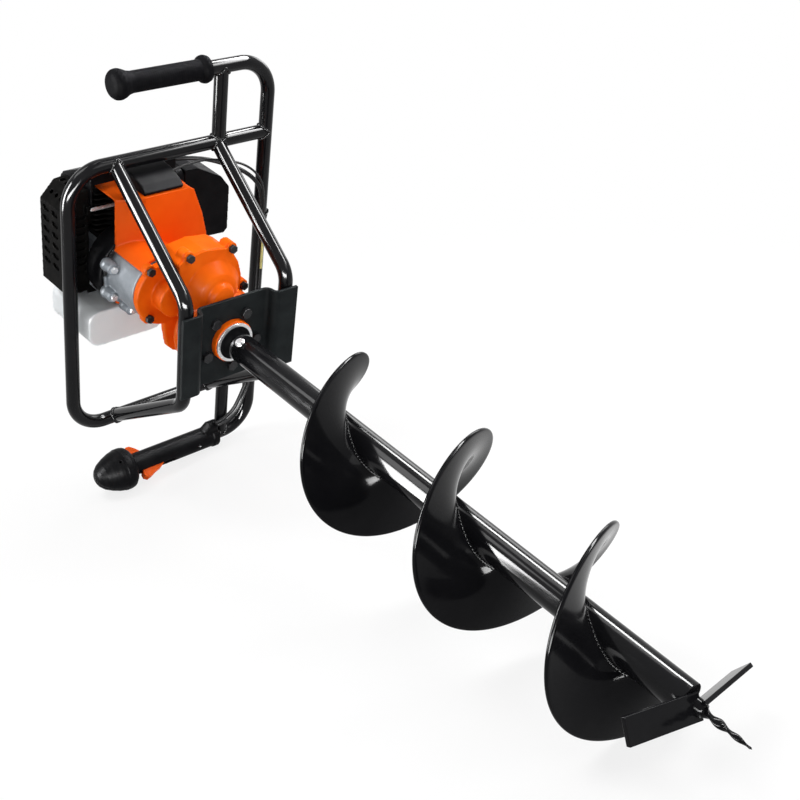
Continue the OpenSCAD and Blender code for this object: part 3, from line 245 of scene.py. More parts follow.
def new_finish(slot, colour, roughness, metallic=0.0, specular=0.5):
    """A Principled material named after its slot, with constants set on its own sockets."""
    material = bpy.data.materials.new(slot)
    material.use_nodes = True
    shader = material.node_tree.nodes["Principled BSDF"]
    shader.inputs["Base Color"].default_value = (*colour, 1)
    shader.inputs["Roughness"].default_value = roughness
    shader.inputs["Metallic"].default_value = metallic
    shader.inputs["Specular IOR Level"].default_value = specular
    finishes[slot] = material
    return material.node_tree, shader


def coords(tree, name="Object", stretch=None):
    """Object or UV coordinates, with an optional stretch along each axis."""
    source = tree.nodes.new("ShaderNodeTexCoord").outputs[name]
    if stretch is None:
        return source
    mapping = tree.nodes.new("ShaderNodeMapping")
    mapping.inputs["Scale"].default_value = stretch
    tree.links.new(source, mapping.inputs["Vector"])
    return mapping.outputs["Vector"]


def noise(tree, where, grain_mm, detail=3.0, rough=0.55):
    """Noise whose cells are about grain_mm across."""
    texture = tree.nodes.new("ShaderNodeTexNoise")
    texture.inputs["Scale"].default_value = 1000.0 / grain_mm
    texture.inputs["Detail"].default_value = detail
    texture.inputs["Roughness"].default_value = rough
    tree.links.new(where, texture.inputs["Vector"])
    return texture.outputs["Fac"]


def cells(tree, where, cell_mm):
    """Distance to the nearest of scattered points about cell_mm apart."""
    texture = tree.nodes.new("ShaderNodeTexVoronoi")
    texture.inputs["Scale"].default_value = 1000.0 / cell_mm
    tree.links.new(where, texture.inputs["Vector"])
    return texture.outputs["Distance"]


def tint(tree, shader, value, low, high, start=0.3, end=0.7):
    """Base colour from low to high as value goes from start to end."""
    ramp = tree.nodes.new("ShaderNodeValToRGB")
    ramp.color_ramp.elements[0].position, ramp.color_ramp.elements[1].position = start, end
    ramp.color_ramp.elements[0].color = (*low, 1)
    ramp.color_ramp.elements[1].color = (*high, 1)
    tree.links.new(value, ramp.inputs["Fac"])
    tree.links.new(ramp.outputs["Color"], shader.inputs["Base Color"])


def polish(tree, shader, value, low, high):
    """Roughness from low to high as value goes from 0.3 to 0.7."""
    span = tree.nodes.new("ShaderNodeMapRange")
    span.inputs["From Min"].default_value, span.inputs["From Max"].default_value = 0.3, 0.7
    span.inputs["To Min"].default_value, span.inputs["To Max"].default_value = low, high
    tree.links.new(value, span.inputs["Value"])
    tree.links.new(span.outputs["Result"], shader.inputs["Roughness"])


def relief(tree, shader, heights):
    """Bumps chained one on another: each is a height value, its depth in millimetres and its strength."""
    last = None
    for value, depth_mm, strength in heights:
        bump = tree.nodes.new("ShaderNodeBump")
        bump.inputs["Distance"].default_value = depth_mm / 1000.0
        bump.inputs["Strength"].default_value = strength
        tree.links.new(value, bump.inputs["Height"])
        if last is not None:
            tree.links.new(last.outputs["Normal"], bump.inputs["Normal"])
        last = bump
    tree.links.new(last.outputs["Normal"], shader.inputs["Normal"])


def grained(slot, colour, roughness, tone, gloss, bumps, **look):
    """A finish of noise alone. The tone is a grain with two colours, the gloss a grain with two
    roughnesses, and each bump a grain, its detail, its depth in millimetres and its strength."""
    tree, shader = new_finish(slot, colour, roughness, **look)
    where = coords(tree)
    tint(tree, shader, noise(tree, where, tone[0]), *tone[1:])
    polish(tree, shader, noise(tree, where, gloss[0]), *gloss[1:])
    relief(tree, shader, [(noise(tree, where, mm, detail), *rest) for mm, detail, *rest in bumps])
    return tree, shader


# %% [markdown]
# The frame and the bit are steel under gloss black paint. Sprayed paint is never a perfect mirror: it
# has a faint orange peel a few millimetres across, and the gloss varies slowly along a tube. Low
# specular keeps it deep black, and the panels still give clear white bands.

# %% Gloss black paint
for slot, peel_mm, depth, gloss in (("black_tube", 2.6, 0.012, 0.13), ("flight_paint", 3.4, 0.016, 0.05)):
    grained(slot, (0.006, 0.006, 0.007), 0.12, (60, (0.0045, 0.0045, 0.0055), (0.008, 0.008, 0.009)),
            (35, 0.07, 0.15), [(peel_mm, 1.0, depth, 0.5)], specular=gloss)
print("paint", sorted(finishes))

# %% [markdown]
# The mounting plate is powder coated: a satin dark grey with a fine leathery grain. The bolts are black
# oxide steel, thin enough that some metal shine comes through.

# %% Powder coat and black oxide
grained("plate_grey", (0.013, 0.015, 0.016), 0.45, (25, (0.010, 0.012, 0.013), (0.016, 0.019, 0.02)),
        (9, 0.38, 0.5), [(1.1, 2.0, 0.05, 0.35)], specular=0.03)
grained("black_bolt", (0.008, 0.008, 0.009), 0.35, (3, (0.006, 0.006, 0.007), (0.02, 0.02, 0.022)),
        (1.5, 0.28, 0.45), [(0.7, 3.0, 0.02, 0.3)], metallic=0.2, specular=0.2)
print("coats", sorted(finishes))

# %% [markdown]
# The gear case is an aluminium casting in orange enamel. Under the paint the sand or die skin shows as
# a soft unevenness, so two sizes of relief are used. The fan shroud, trigger and lock are moulded in
# plastic of a redder orange, smoother, with a fine spark-eroded grain.

# %% Orange enamel and orange plastic
grained("orange_cast", (0.95, 0.14, 0.005), 0.34, (30, (0.88, 0.115, 0.003), (0.98, 0.155, 0.006)),
        (5, 0.26, 0.42), [(9, 2.0, 0.12, 0.3), (1.2, 2.0, 0.03, 0.35)], specular=0.018)
grained("orange_plastic", (0.93, 0.115, 0.005), 0.36, (45, (0.9, 0.105, 0.004), (0.96, 0.13, 0.006)),
        (4, 0.3, 0.42), [(0.6, 2.0, 0.02, 0.35)], specular=0.02)
print("oranges", sorted(finishes))

# %% [markdown]
# Bare castings are a dull uneven grey. Turned steel has fine rings or strokes, so its noise
# is stretched along the shaft. Rubber is matt, with a faint bloom. Moulded black plastic has a leather
# grain from the mould, made of small cells.

# %% Metals, rubber and black plastic
grained("silver_cast", (0.23, 0.255, 0.28), 0.46, (14, (0.2, 0.222, 0.245), (0.26, 0.285, 0.312)),
        (3, 0.34, 0.52), [(1.6, 3.0, 0.06, 0.4)], metallic=0.03, specular=0.05)

tree, shader = new_finish("steel", (0.66, 0.66, 0.67), 0.28, metallic=0.5)
where = coords(tree, stretch=(1.0, 0.12, 0.12))
tint(tree, shader, noise(tree, coords(tree), 6), (0.62, 0.62, 0.63), (0.72, 0.72, 0.73))
polish(tree, shader, noise(tree, where, 0.8), 0.2, 0.3)
relief(tree, shader, [(noise(tree, where, 0.5), 0.004, 0.25)])

tree, shader = new_finish("seal_rubber", (0.005, 0.005, 0.006), 0.55, specular=0.011)
where = coords(tree)
tint(tree, shader, noise(tree, where, 8), (0.004, 0.004, 0.005), (0.007, 0.007, 0.008))
polish(tree, shader, noise(tree, where, 4), 0.48, 0.66)
relief(tree, shader, [(cells(tree, where, 1.5), 0.08, 0.4), (noise(tree, where, 0.5), 0.02, 0.3)])

tree, shader = new_finish("black_plastic", (0.006, 0.006, 0.007), 0.38, specular=0.025)
where = coords(tree)
tint(tree, shader, noise(tree, where, 20), (0.004, 0.004, 0.005), (0.008, 0.008, 0.009))
polish(tree, shader, noise(tree, where, 6), 0.3, 0.46)
relief(tree, shader, [(cells(tree, where, 0.9), 0.05, 0.3), (noise(tree, where, 0.4), 0.015, 0.3)])
print("metals, rubber and plastic", sorted(finishes))

# %% [markdown]
# The rest: heat-proof matt paint on the muffler and its guard, white ceramic on the plug, open foam in
# the filter, a milky tank that lets light through its wall, a ribbed cable jacket and a pale wire. The
# wire runs in a black sleeve at both ends, so its colour follows a value stored on its points.

# %% Exhaust paint, ceramic, foam, tank, cable and wire
grained("exhaust_black", (0.005, 0.0045, 0.0045), 0.5, (12, (0.003, 0.003, 0.003), (0.007, 0.0065, 0.006)),
        (5, 0.36, 0.58), [(0.8, 3.0, 0.04, 0.4)], specular=0.008)
grained("plug_white", (0.75, 0.74, 0.7), 0.2, (5, (0.7, 0.69, 0.64), (0.8, 0.79, 0.75)),
        (2, 0.14, 0.28), [(0.8, 3.0, 0.01, 0.3)])
grained("cable_black", (0.007, 0.007, 0.008), 0.45, (12, (0.005, 0.005, 0.006), (0.010, 0.010, 0.011)),
        (3, 0.38, 0.55), [(0.9, 3.0, 0.03, 0.4)], specular=0.15)

tree, shader = new_finish("foam", (0.03, 0.03, 0.032), 0.85, specular=0.2)
where = coords(tree)
# One cell mask drives both the bump and the colour: the pores' hollows are painted darker, which is painted
# shade in the recesses.
pores_and_pore_shade = cells(tree, where, 1.4)
tint(tree, shader, pores_and_pore_shade, (0.008, 0.008, 0.009), (0.05, 0.05, 0.052), 0.1, 0.6)
polish(tree, shader, noise(tree, where, 2), 0.8, 0.95)
relief(tree, shader, [(pores_and_pore_shade, 0.5, 0.8)])

tree, shader = grained(
    "tank_white", (0.7, 0.745, 0.765), 0.36, (50, (0.79, 0.825, 0.845), (0.86, 0.89, 0.905)),
    (7, 0.3, 0.44), [(6, 2.0, 0.08, 0.25), (0.7, 3.0, 0.015, 0.3)], specular=0.2)
shader.inputs["Subsurface Weight"].default_value = 0.55
shader.inputs["Subsurface Radius"].default_value = (1.0, 1.0, 1.0)
shader.inputs["Subsurface Scale"].default_value = 0.004

tree, shader = new_finish("wire_yellow", (0.72, 0.7, 0.2), 0.42, specular=0.2)
where = coords(tree)
bare = tree.nodes.new("ShaderNodeAttribute")
bare.attribute_name = "bare"
tint(tree, shader, bare.outputs["Fac"], (0.006, 0.006, 0.007), (0.66, 0.64, 0.24), 0.45, 0.55)
polish(tree, shader, noise(tree, where, 3), 0.36, 0.5)
relief(tree, shader, [(noise(tree, where, 0.8), 0.02, 0.3)])
print("finishes", len(finishes))

# %% [markdown]
# Every CAD node gets its finish now. Nodes whose shape is already right, such as the gears inside the
# case, keep only that. The visible ones are replaced below by pieces with softer edges and more detail.

# %% Finish on every CAD node
for name, node in nodes.items():
    node.data.materials.clear()
    node.data.materials.append(finishes[slot_of[name]])
body_of = {name: node["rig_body"] for name, node in nodes.items()}
print("dressed", len(nodes), "nodes in", len(set(slot_of.values())), "finishes")

# %% [markdown]
# New pieces are grids of points. One helper joins a grid into quads, closes it round and caps its ends,
# another makes the object, gives it a finish and lets it ride on a body in place of its CAD node.

# %% From a grid of points to a piece
def quads(rows, columns, ring=True, loop=False):
    """Corner numbers of the quads between neighbouring rows and columns; a ring joins the last column
    to the first, and a loop joins the last row to the first."""
    i = np.arange(rows if loop else rows - 1)[:, None]
    j = np.arange(columns if ring else columns - 1)[None, :]
    up, over = (i + 1) % rows, (j + 1) % columns
    corners = (i * columns + j, i * columns + over, up * columns + over, up * columns + j)
    return np.stack([np.broadcast_to(c, (i.size, j.size)).ravel() for c in corners], axis=1)


def shell(grid, loop=False, caps=True):
    """Points and faces of a closed skin: rows of closed rings, with a flat cap on each end."""
    rows, columns = grid.shape[:2]
    faces = quads(rows, columns, True, loop).tolist()
    if caps and not loop:
        faces.append(list(range(columns))[::-1])
        faces.append([(rows - 1) * columns + k for k in range(columns)])
    return grid.reshape(-1, 3), faces


def together(parts):
    """Several skins as one: points in a row, and corner numbers moved up by the points before them."""
    points, faces, first = [], [], 0
    for p, f in parts:
        points.append(p)
        faces.extend([[c + first for c in face] for face in f])
        first += len(p)
    return np.concatenate(points), faces


def outward(mesh):
    """Turn all faces of a mesh to point outwards."""
    work = bmesh.new()
    work.from_mesh(mesh)
    bmesh.ops.recalc_face_normals(work, faces=work.faces)
    work.to_mesh(mesh)
    work.free()


def place(name, mesh, slot, body, *replaced, sharp=35.0):
    """Make an object of a mesh in metres: smooth shading with sharp edges past an angle, a finish, a body."""
    mesh.materials.clear()
    mesh.materials.append(finishes[slot])
    mesh.polygons.foreach_set("use_smooth", np.ones(len(mesh.polygons), bool))
    mesh.set_sharp_from_angle(angle=math.radians(sharp))
    piece = bpy.data.objects.new(name, mesh)
    scene.collection.objects.link(piece)
    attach(piece, body)
    if replaced:
        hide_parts(*replaced)
    return piece


def skin(name, points_mm, faces, slot, body, *replaced, sharp=35.0):
    """A piece from drawing points and faces."""
    mesh = bpy.data.meshes.new(name)
    mesh.from_pydata(row(points_mm).tolist(), [], faces)
    outward(mesh)
    return place(name, mesh, slot, body, *replaced, sharp=sharp)


# %% [markdown]
# The frame is one size of round tube, cold bent. A tube is a circle carried along a path, and the path
# is a run of straights joined by arcs of the bending radius. Each bend lies in a plane, so the plane's
# normal is a steady direction for the circle and the tube can't twist.

# %% Bent frame tubes
TUBE_R, BEND_R = 9.5, 48.0
BACK_X, GRIP_Z, LOOP_Z, RUN_Y, LEFT_Y = -173.0, 296.5, 194.0, 163.0, -138.0
BRACE_X, BRACE_Z, BRACE_LEFT, BRACE_RIGHT = -8.15, 76.0, -72.0, 83.0


def bent_path(corners, bend, step=2.0):
    """Points along straights and tangent arcs: at each corner the arc starts bend * tan(turn / 2) before
    it and sweeps the turn about a centre on the bisector."""
    corners = np.asarray(corners, float)
    pieces, start = [], corners[0]
    for before, corner, after in zip(corners, corners[1:], corners[2:]):
        a = (before - corner) / np.linalg.norm(before - corner)
        b = (after - corner) / np.linalg.norm(after - corner)
        half = math.acos(np.clip(a @ b, -1, 1)) / 2
        first = corner + a * bend / math.tan(half)
        centre = corner + (a + b) / np.linalg.norm(a + b) * bend / math.sin(half)
        turn = math.pi - 2 * half
        t = np.linspace(0, turn, max(8, int(turn * bend / step)))[:, None]
        pieces.append(np.linspace(start, first, max(2, int(np.linalg.norm(first - start) / 12))))
        pieces.append(centre + (first - centre) * np.cos(t) - a * bend * np.sin(t))
        start = corner + b * bend / math.tan(half)
    pieces.append(np.linspace(start, corners[-1], max(2, int(np.linalg.norm(corners[-1] - start) / 12))))
    path = np.concatenate(pieces)
    keep = np.r_[True, np.linalg.norm(np.diff(path, axis=0), axis=1) > 1e-6]
    return path[keep]


def carry(path, radii, steady, sides=48):
    """A circle carried along a path: at each point its radius times cos and sin of the angle on two
    directions square to the path, the first one as near as possible to the steady direction."""
    tangent = np.gradient(path, axis=0)
    tangent /= np.linalg.norm(tangent, axis=1)[:, None]
    u = np.asarray(steady, float) - (tangent @ np.asarray(steady, float))[:, None] * tangent
    u /= np.linalg.norm(u, axis=1)[:, None]
    v = np.cross(tangent, u)
    angle = np.linspace(0, 2 * np.pi, sides, endpoint=False)
    radii = np.broadcast_to(np.asarray(radii, float), (len(path),))[:, None, None]
    return path[:, None, :] + radii * (
        np.cos(angle)[None, :, None] * u[:, None, :] + np.sin(angle)[None, :, None] * v[:, None, :]
    )


def in_back_plane(points):
    """Points given as y and z in the plane of the handlebar and the loop."""
    return np.array([[BACK_X, y, z] for y, z in points])


def in_side_plane(y, points):
    """Points given as x and z in a plane of one y."""
    return np.array([[x, y, z] for x, z in points])


HANDLEBAR = in_back_plane([(-50, GRIP_Z), (RUN_Y, GRIP_Z), (RUN_Y, -GRIP_Z), (32, -GRIP_Z)])
LOOP = in_back_plane([(RUN_Y - 4, LOOP_Z), (LEFT_Y, LOOP_Z), (LEFT_Y, -LOOP_Z), (RUN_Y - 4, -LOOP_Z)])
skin("frame_handlebar", *shell(carry(bent_path(HANDLEBAR, BEND_R), TUBE_R, (1, 0, 0))),
     "black_tube", "frame", "handlebar", sharp=60)
skin("frame_loop", *shell(carry(bent_path(LOOP, BEND_R), TUBE_R, (1, 0, 0))),
     "black_tube", "frame", "loop_tube", sharp=60)
for name, y in (("brace_left", BRACE_LEFT), ("brace_right", BRACE_RIGHT)):
    lean = np.array([BACK_X - BRACE_X, LOOP_Z - BRACE_Z])
    end = np.array([BACK_X, LOOP_Z]) - 5 * lean / np.linalg.norm(lean)
    corners = [end, (BRACE_X, BRACE_Z), (BRACE_X, -BRACE_Z), end * (1, -1)]
    skin("frame_" + name, *shell(carry(bent_path(in_side_plane(y, corners), 30.0), TUBE_R, (0, 1, 0))),
         "black_tube", "frame", name, sharp=60)
STRUTS = ((86.0, 1), (113.0, -1))
rods = []
for y, side in STRUTS:
    ends = np.array([[BACK_X, y, side * (LOOP_Z + 4)], [BACK_X, y, side * (GRIP_Z - 4)]])
    rods.append(shell(carry(np.linspace(*ends, 12), TUBE_R, (1, 0, 0))))
skin("frame_struts", *together(rods), "black_tube", "frame", "struts", sharp=60)
print("tube lengths mm", [round(float(np.linalg.norm(np.diff(bent_path(c, BEND_R), axis=0), axis=1).sum()))
                          for c in (HANDLEBAR, LOOP)])

# %% [markdown]
# Where one tube ends on another it is welded all round, and the painted bead is the first thing a maker
# looks for. The meeting line of two round tubes is exact: for each angle round the ending tube, one
# step along it reaches the other tube's surface. A thin ring with a ripple follows that line.

# %% Weld beads of the frame
def weld(centre, ahead, onto, onto_axis, bead=2.3, ripples=26, steps=156):
    """A closed bead on the line where a tube from centre along ahead meets the tube through onto along
    onto_axis: the step s solves |across(p + s d)| = r for each angle, a quadratic with a known root."""
    d = np.asarray(ahead, float) / np.linalg.norm(ahead)
    e = np.asarray(onto_axis, float) / np.linalg.norm(onto_axis)
    u = np.cross(d, e)
    u /= np.linalg.norm(u)
    v = np.cross(d, u)
    t = np.linspace(0, 2 * np.pi, steps, endpoint=False)
    out1 = np.cos(t)[:, None] * u + np.sin(t)[:, None] * v
    m = np.asarray(centre, float) - np.asarray(onto, float) + TUBE_R * out1
    mp = m - (m @ e)[:, None] * e
    dp = d - (d @ e) * e
    a, b, c = dp @ dp, mp @ dp, (mp * mp).sum(1) - TUBE_R**2
    s = (-b - np.sqrt(np.clip(b * b - a * c, 0, None))) / a
    line = np.asarray(onto, float) + m + s[:, None] * d
    out2 = mp + s[:, None] * dp
    out2 /= np.linalg.norm(out2, axis=1)[:, None]
    n = out1 + out2
    n /= np.linalg.norm(n, axis=1)[:, None]
    along = np.roll(line, -1, axis=0) - np.roll(line, 1, axis=0)
    along /= np.linalg.norm(along, axis=1)[:, None]
    w = np.cross(along, n)
    w /= np.linalg.norm(w, axis=1)[:, None]
    q = np.linspace(0, 2 * np.pi, 12, endpoint=False)
    size = bead * (1 + 0.09 * np.sin(ripples * t) + 0.04 * np.sin(5 * t + 1.0))
    ring = np.cos(q)[None, :, None] * n[:, None, :] + np.sin(q)[None, :, None] * w[:, None, :]
    return shell(line[:, None, :] + size[:, None, None] * ring, loop=True)


beads = []
for side in (1, -1):
    beads.append(weld([BACK_X, RUN_Y - 40, side * LOOP_Z], [0, 1, 0], [BACK_X, RUN_Y, 0], [0, 0, 1]))
    for y in (BRACE_LEFT, BRACE_RIGHT):
        lean = np.array([BACK_X - BRACE_X, 0, side * (LOOP_Z - BRACE_Z)])
        lean /= np.linalg.norm(lean)
        end = np.array([BACK_X, y, side * LOOP_Z])
        beads.append(weld(end - 40 * lean, lean, end, [0, 1, 0]))
for y, side in STRUTS:
    middle = [BACK_X, y, side * (LOOP_Z + GRIP_Z) / 2]
    beads.append(weld(middle, [0, 0, -side], [BACK_X, 0, side * LOOP_Z], [0, 1, 0]))
    beads.append(weld(middle, [0, 0, side], [BACK_X, 0, side * GRIP_Z], [0, 1, 0]))
skin("frame_weld_beads", *together(beads), "black_tube", "frame", sharp=80)
print("weld beads", len(beads))

# %% [markdown]
# The bit is the object's signature: a flat bar wound on edge round a tube. Each section is a straight
# bar on the radius, so the surface is a helix times a radius. The section's outer edge is rounded, and
# the first part of a turn starts with a rounded shoulder that rises from the tube to the full width.

# %% Helical flight
FLIGHT_X, FLIGHT_LENGTH, PITCH_MM, RIM_R, BAR = 190.0, 553.0, 189.0, 100.0, 2.5
BIT_R, TOP_X, SHOULDER_DEG, START_RISE, EDGE_R = 18.75, 217.6, 52, 12, 1.6
FLIGHT_END = 0.945


def helix(a, r, s):
    """A point of the flight: x is the start plus the length times a plus s, and the angle turns by one
    whole turn for each pitch; y and z are the radius times minus sin and cos of the angle."""
    angle = 2 * np.pi * ((FLIGHT_X - TOP_X) + FLIGHT_LENGTH * a) / PITCH_MM
    x = FLIGHT_X + FLIGHT_LENGTH * a + s
    return np.stack(np.broadcast_arrays(x, -r * np.sin(angle), r * np.cos(angle)), axis=-1)


def rim(a):
    """Outer radius: a quarter ellipse over the shoulder's angle, then constant."""
    b = np.clip(a * FLIGHT_LENGTH / PITCH_MM * 360 / SHOULDER_DEG, 0, 1)
    return BIT_R + START_RISE + (RIM_R - BIT_R - START_RISE) * np.sqrt(1 - (1 - b) ** 2)


a = np.r_[np.linspace(0, 0.05, 60, endpoint=False), np.linspace(0.05, FLIGHT_END, 900)][:, None]
web = np.linspace(0, 1, 26)
nose = np.linspace(-np.pi / 2, np.pi / 2, 9)[1:-1]
share = np.r_[web, np.ones(len(nose)), web[::-1]][None, :]
round_off = np.r_[np.zeros(26), np.cos(nose), np.zeros(26)][None, :] * EDGE_R
side = np.r_[-np.ones(26), np.sin(nose), np.ones(26)][None, :] * BAR
inner = BIT_R + 0.1
radius = inner + (rim(a) - EDGE_R - inner) * share + round_off
skin("bit_flight", *shell(helix(a, radius, side)), "flight_paint", "bit", "flight", sharp=50)
print("flight turns", round(FLIGHT_END * FLIGHT_LENGTH / PITCH_MM, 2))

# %% [markdown]
# The flight is welded to the tube on both faces. The bead is a small round profile on the same helix,
# with ripples from the torch. The tube itself is a surface of revolution with a socket for the drive
# shaft, so its highlight runs without facets.

# %% Flight welds and bit tube
t = np.linspace(0, FLIGHT_END, 1500)[:, None]
q = np.linspace(0, 2 * np.pi, 10, endpoint=False)[None, :]
size = 2.3 * (1 + 0.1 * np.sin(2 * np.pi * 170 * t) + 0.05 * np.sin(2 * np.pi * 23 * t))
seams = [
    shell(helix(t, BIT_R + 0.7 + size * np.cos(q), face * (BAR + 0.7) + size * np.sin(q)))
    for face in (1, -1)
]
skin("bit_flight_welds", *together(seams), "flight_paint", "bit", sharp=80)


def turned(profile, sides=96, axis="x", centre=(0, 0, 0)):
    """A profile of length and radius pairs turned round an axis of the drawing."""
    profile = np.asarray(profile, float)
    angle = np.linspace(0, 2 * np.pi, sides, endpoint=False)
    length = np.broadcast_to(profile[:, :1], (len(profile), sides))
    c, s = profile[:, 1:] * np.cos(angle), profile[:, 1:] * np.sin(angle)
    order = {"x": (length, c, s), "y": (c, length, s), "z": (c, s, length)}[axis]
    return np.stack(order, axis=-1) + np.asarray(centre, float)


TUBE_END, SOCKET_X = 741.0, 11.0
profile = [
    (72, 12.6), (SOCKET_X + 1, 12.6), (SOCKET_X, 13.4), (SOCKET_X, 17.6), (SOCKET_X + 0.4, 18.4),
    (SOCKET_X + 1.2, BIT_R),
]
profile += [(x, BIT_R) for x in np.linspace(SOCKET_X + 20, TUBE_END - 20, 40)]
profile += [(TUBE_END - 1, BIT_R), (TUBE_END - 0.3, BIT_R - 0.4), (TUBE_END, BIT_R - 1.2), (TUBE_END, 9.2)]
skin("bit_tube_turned", *shell(turned(profile)), "black_tube", "bit", "bit_tube", sharp=40)
print("bit tube", TUBE_END - SOCKET_X, "mm")

# %% [markdown]
# Two cutters are welded across the end of the tube, one the other's half turn. Each is a flat bar set at
# a slant like a propeller blade, so from the side one shows its face and the other its edge. The pilot
# in the middle is a flat bar twisted one and a half turns and drawn out to a point.

# %% Cutters and pilot
TIP_X, BLADE_X, DRILL_X = 815.0, 751.2, 752.0
reach_out = np.array([-12.0, -102.2, 22.0])
slant = np.array([15.3, -0.9, -26.0])
square = np.cross(reach_out, slant)
square = 2.5 * square / np.linalg.norm(square)


def blade(half_turn):
    """A flat bar from the axis out to the rim: its eight corners are the middle line plus and minus half
    the width along the slant and half the thickness square to both."""
    corners = np.array([
        np.array([BLADE_X, 0, 0]) + t * reach_out + u / 2 * slant + v * square
        for t in (-0.03, 1) for u, v in ((-1, -1), (1, -1), (1, 1), (-1, 1))
    ])
    if half_turn:
        corners = corners * np.array([1, -1, -1])
    return corners, quads(2, 4).tolist() + [[3, 2, 1, 0], [4, 5, 6, 7]]


cutters = skin("bit_cutters", *together([blade(False), blade(True)]),
               "flight_paint", "bit", "cutters", sharp=30)
edge = cutters.modifiers.new("edge", "BEVEL")
edge.width, edge.segments, edge.limit_method = 0.0007, 2, "ANGLE"
cutters.modifiers.new("normals", "WEIGHTED_NORMAL")

share = np.linspace(0, 1, 220)[:, None]
q = np.linspace(0, 2 * np.pi, 40, endpoint=False)[None, :]
size = (1 - 0.72 * share) * np.clip((1 - share) / 0.03, 0.25, 1)
turn = 3 * np.pi * share
wide, thin = 6.9 * size * np.cos(q), 3.5 * size * np.sin(q)
drill = np.stack(
    [np.broadcast_to(DRILL_X + (TIP_X - DRILL_X) * share, wide.shape),
     wide * np.cos(turn) - thin * np.sin(turn), wide * np.sin(turn) + thin * np.cos(turn)], axis=-1)
shank = turned([(736, 1), (736, 9), (757, 9), (759.5, 7.4), (759.5, 1)], 48)
skin("bit_pilot", *together([shell(drill), shell(shank)]), "flight_paint", "bit", "pilot_point", sharp=40)
print("pilot", round(TIP_X - TUBE_END), "mm beyond the tube")

# %% [markdown]
# Castings and mouldings have no sharp edges: the mould leaves a radius of a millimetre or two on every
# edge and a fillet in every corner. A bevel on a CAD mesh of long thin triangles breaks, so the node's
# copy is rebuilt on a fine cubic grid, and a few passes of smoothing in numpy round the edges. The
# passes go in pairs, a step in and a slightly larger step out, so the piece doesn't shrink. Two plain
# steps at the end take away what is left of the grid.

# %% Softened copies of castings and mouldings
def joined_copy(node_name, flat_deg=None):
    """The node's triangles as one joined mesh, with flat ones dissolved into whole faces if an angle is
    given; the CAD mesh itself isn't touched."""
    work = bmesh.new()
    work.from_mesh(nodes[node_name].data)
    bmesh.ops.remove_doubles(work, verts=work.verts, dist=1e-6)
    if flat_deg is not None:
        bmesh.ops.dissolve_limit(work, angle_limit=math.radians(flat_deg), verts=work.verts, edges=work.edges)
    mesh = bpy.data.meshes.new(node_name + "_copy")
    work.to_mesh(mesh)
    work.free()
    return mesh


def evened(points, edges, steps):
    """For each step, every point moves by that share of the way to the mean of its neighbours, all as
    whole arrays; a negative step moves it out again."""
    first, second = edges[:, 0], edges[:, 1]
    count = np.maximum(np.bincount(edges.ravel(), minlength=len(points)), 1)[:, None]
    for step in steps:
        total = np.stack([
            np.bincount(first, points[second, k], len(points))
            + np.bincount(second, points[first, k], len(points)) for k in range(3)
        ], axis=1)
        points = points + step * (total / count - points)
    return points


HEAD_Y = np.array([-107, -106, -104.5, -101, -95, -85, -75, -65, -58, -53, -49, -47, -46, -40])
HEAD_R = np.array([1.0, 4.0, 9.0, 14.5, 20.0, 25.3, 29.2, 31.8, 31.9, 30.8, 27.0, 20.5, 16.6, 16.5])


def head(points):
    """The throttle handle's end as a blunt cone with a flat back: each point keeps its place along the
    handle and its angle round it, and its radius grows by the cone's radius over the drawn radius."""
    p = (points * 1000.0 - SEAT) @ LAY
    y, off = p[:, 1], p[:, [0, 2]] - np.array([BACK_X, -GRIP_Z])
    front = np.arccos(np.clip((-66 - y) / 40, 0, 1))
    back = np.arcsin(np.clip((y + 66) / 20, 0, 1))
    drawn = np.where(y < -66, 33 * np.sin(front) ** 1.6, 16.1 + 16.5 * np.cos(back))
    grow = np.interp(y, HEAD_Y, HEAD_R) / np.maximum(drawn, 1.5)
    grow = np.where(y < -46, np.clip(grow, 0.9, 1.9), 1.0)
    p[:, [0, 2]] = np.array([BACK_X, -GRIP_Z]) + off * grow[:, None]
    return row(p)


IN_AND_OUT, SETTLE = [0.55, -0.57], [0.35, 0.35]


def softened(node_name, voxel_mm, passes, reshape=None):
    """A piece in place of a node: rebuilt on a grid of voxel_mm, evened in pairs of steps, then settled."""
    helper = bpy.data.objects.new("helper", joined_copy(node_name))
    scene.collection.objects.link(helper)
    rebuild = helper.modifiers.new("rebuild", "REMESH")
    rebuild.mode, rebuild.voxel_size = "VOXEL", voxel_mm / 1000.0
    ready = helper.evaluated_get(bpy.context.evaluated_depsgraph_get())
    mesh = bpy.data.meshes.new_from_object(ready)
    bpy.data.objects.remove(helper)
    points = np.zeros(len(mesh.vertices) * 3)
    mesh.vertices.foreach_get("co", points)
    edges = np.zeros(len(mesh.edges) * 2, int)
    mesh.edges.foreach_get("vertices", edges)
    points = evened(points.reshape(-1, 3), edges.reshape(-1, 2), IN_AND_OUT * passes + SETTLE)
    if reshape is not None:
        points = reshape(points)
    mesh.vertices.foreach_set("co", points.ravel())
    mesh.update()
    name = node_name + "_soft"
    mesh.name = name
    return place(name, mesh, slot_of[node_name], body_of[node_name], node_name, sharp=180)


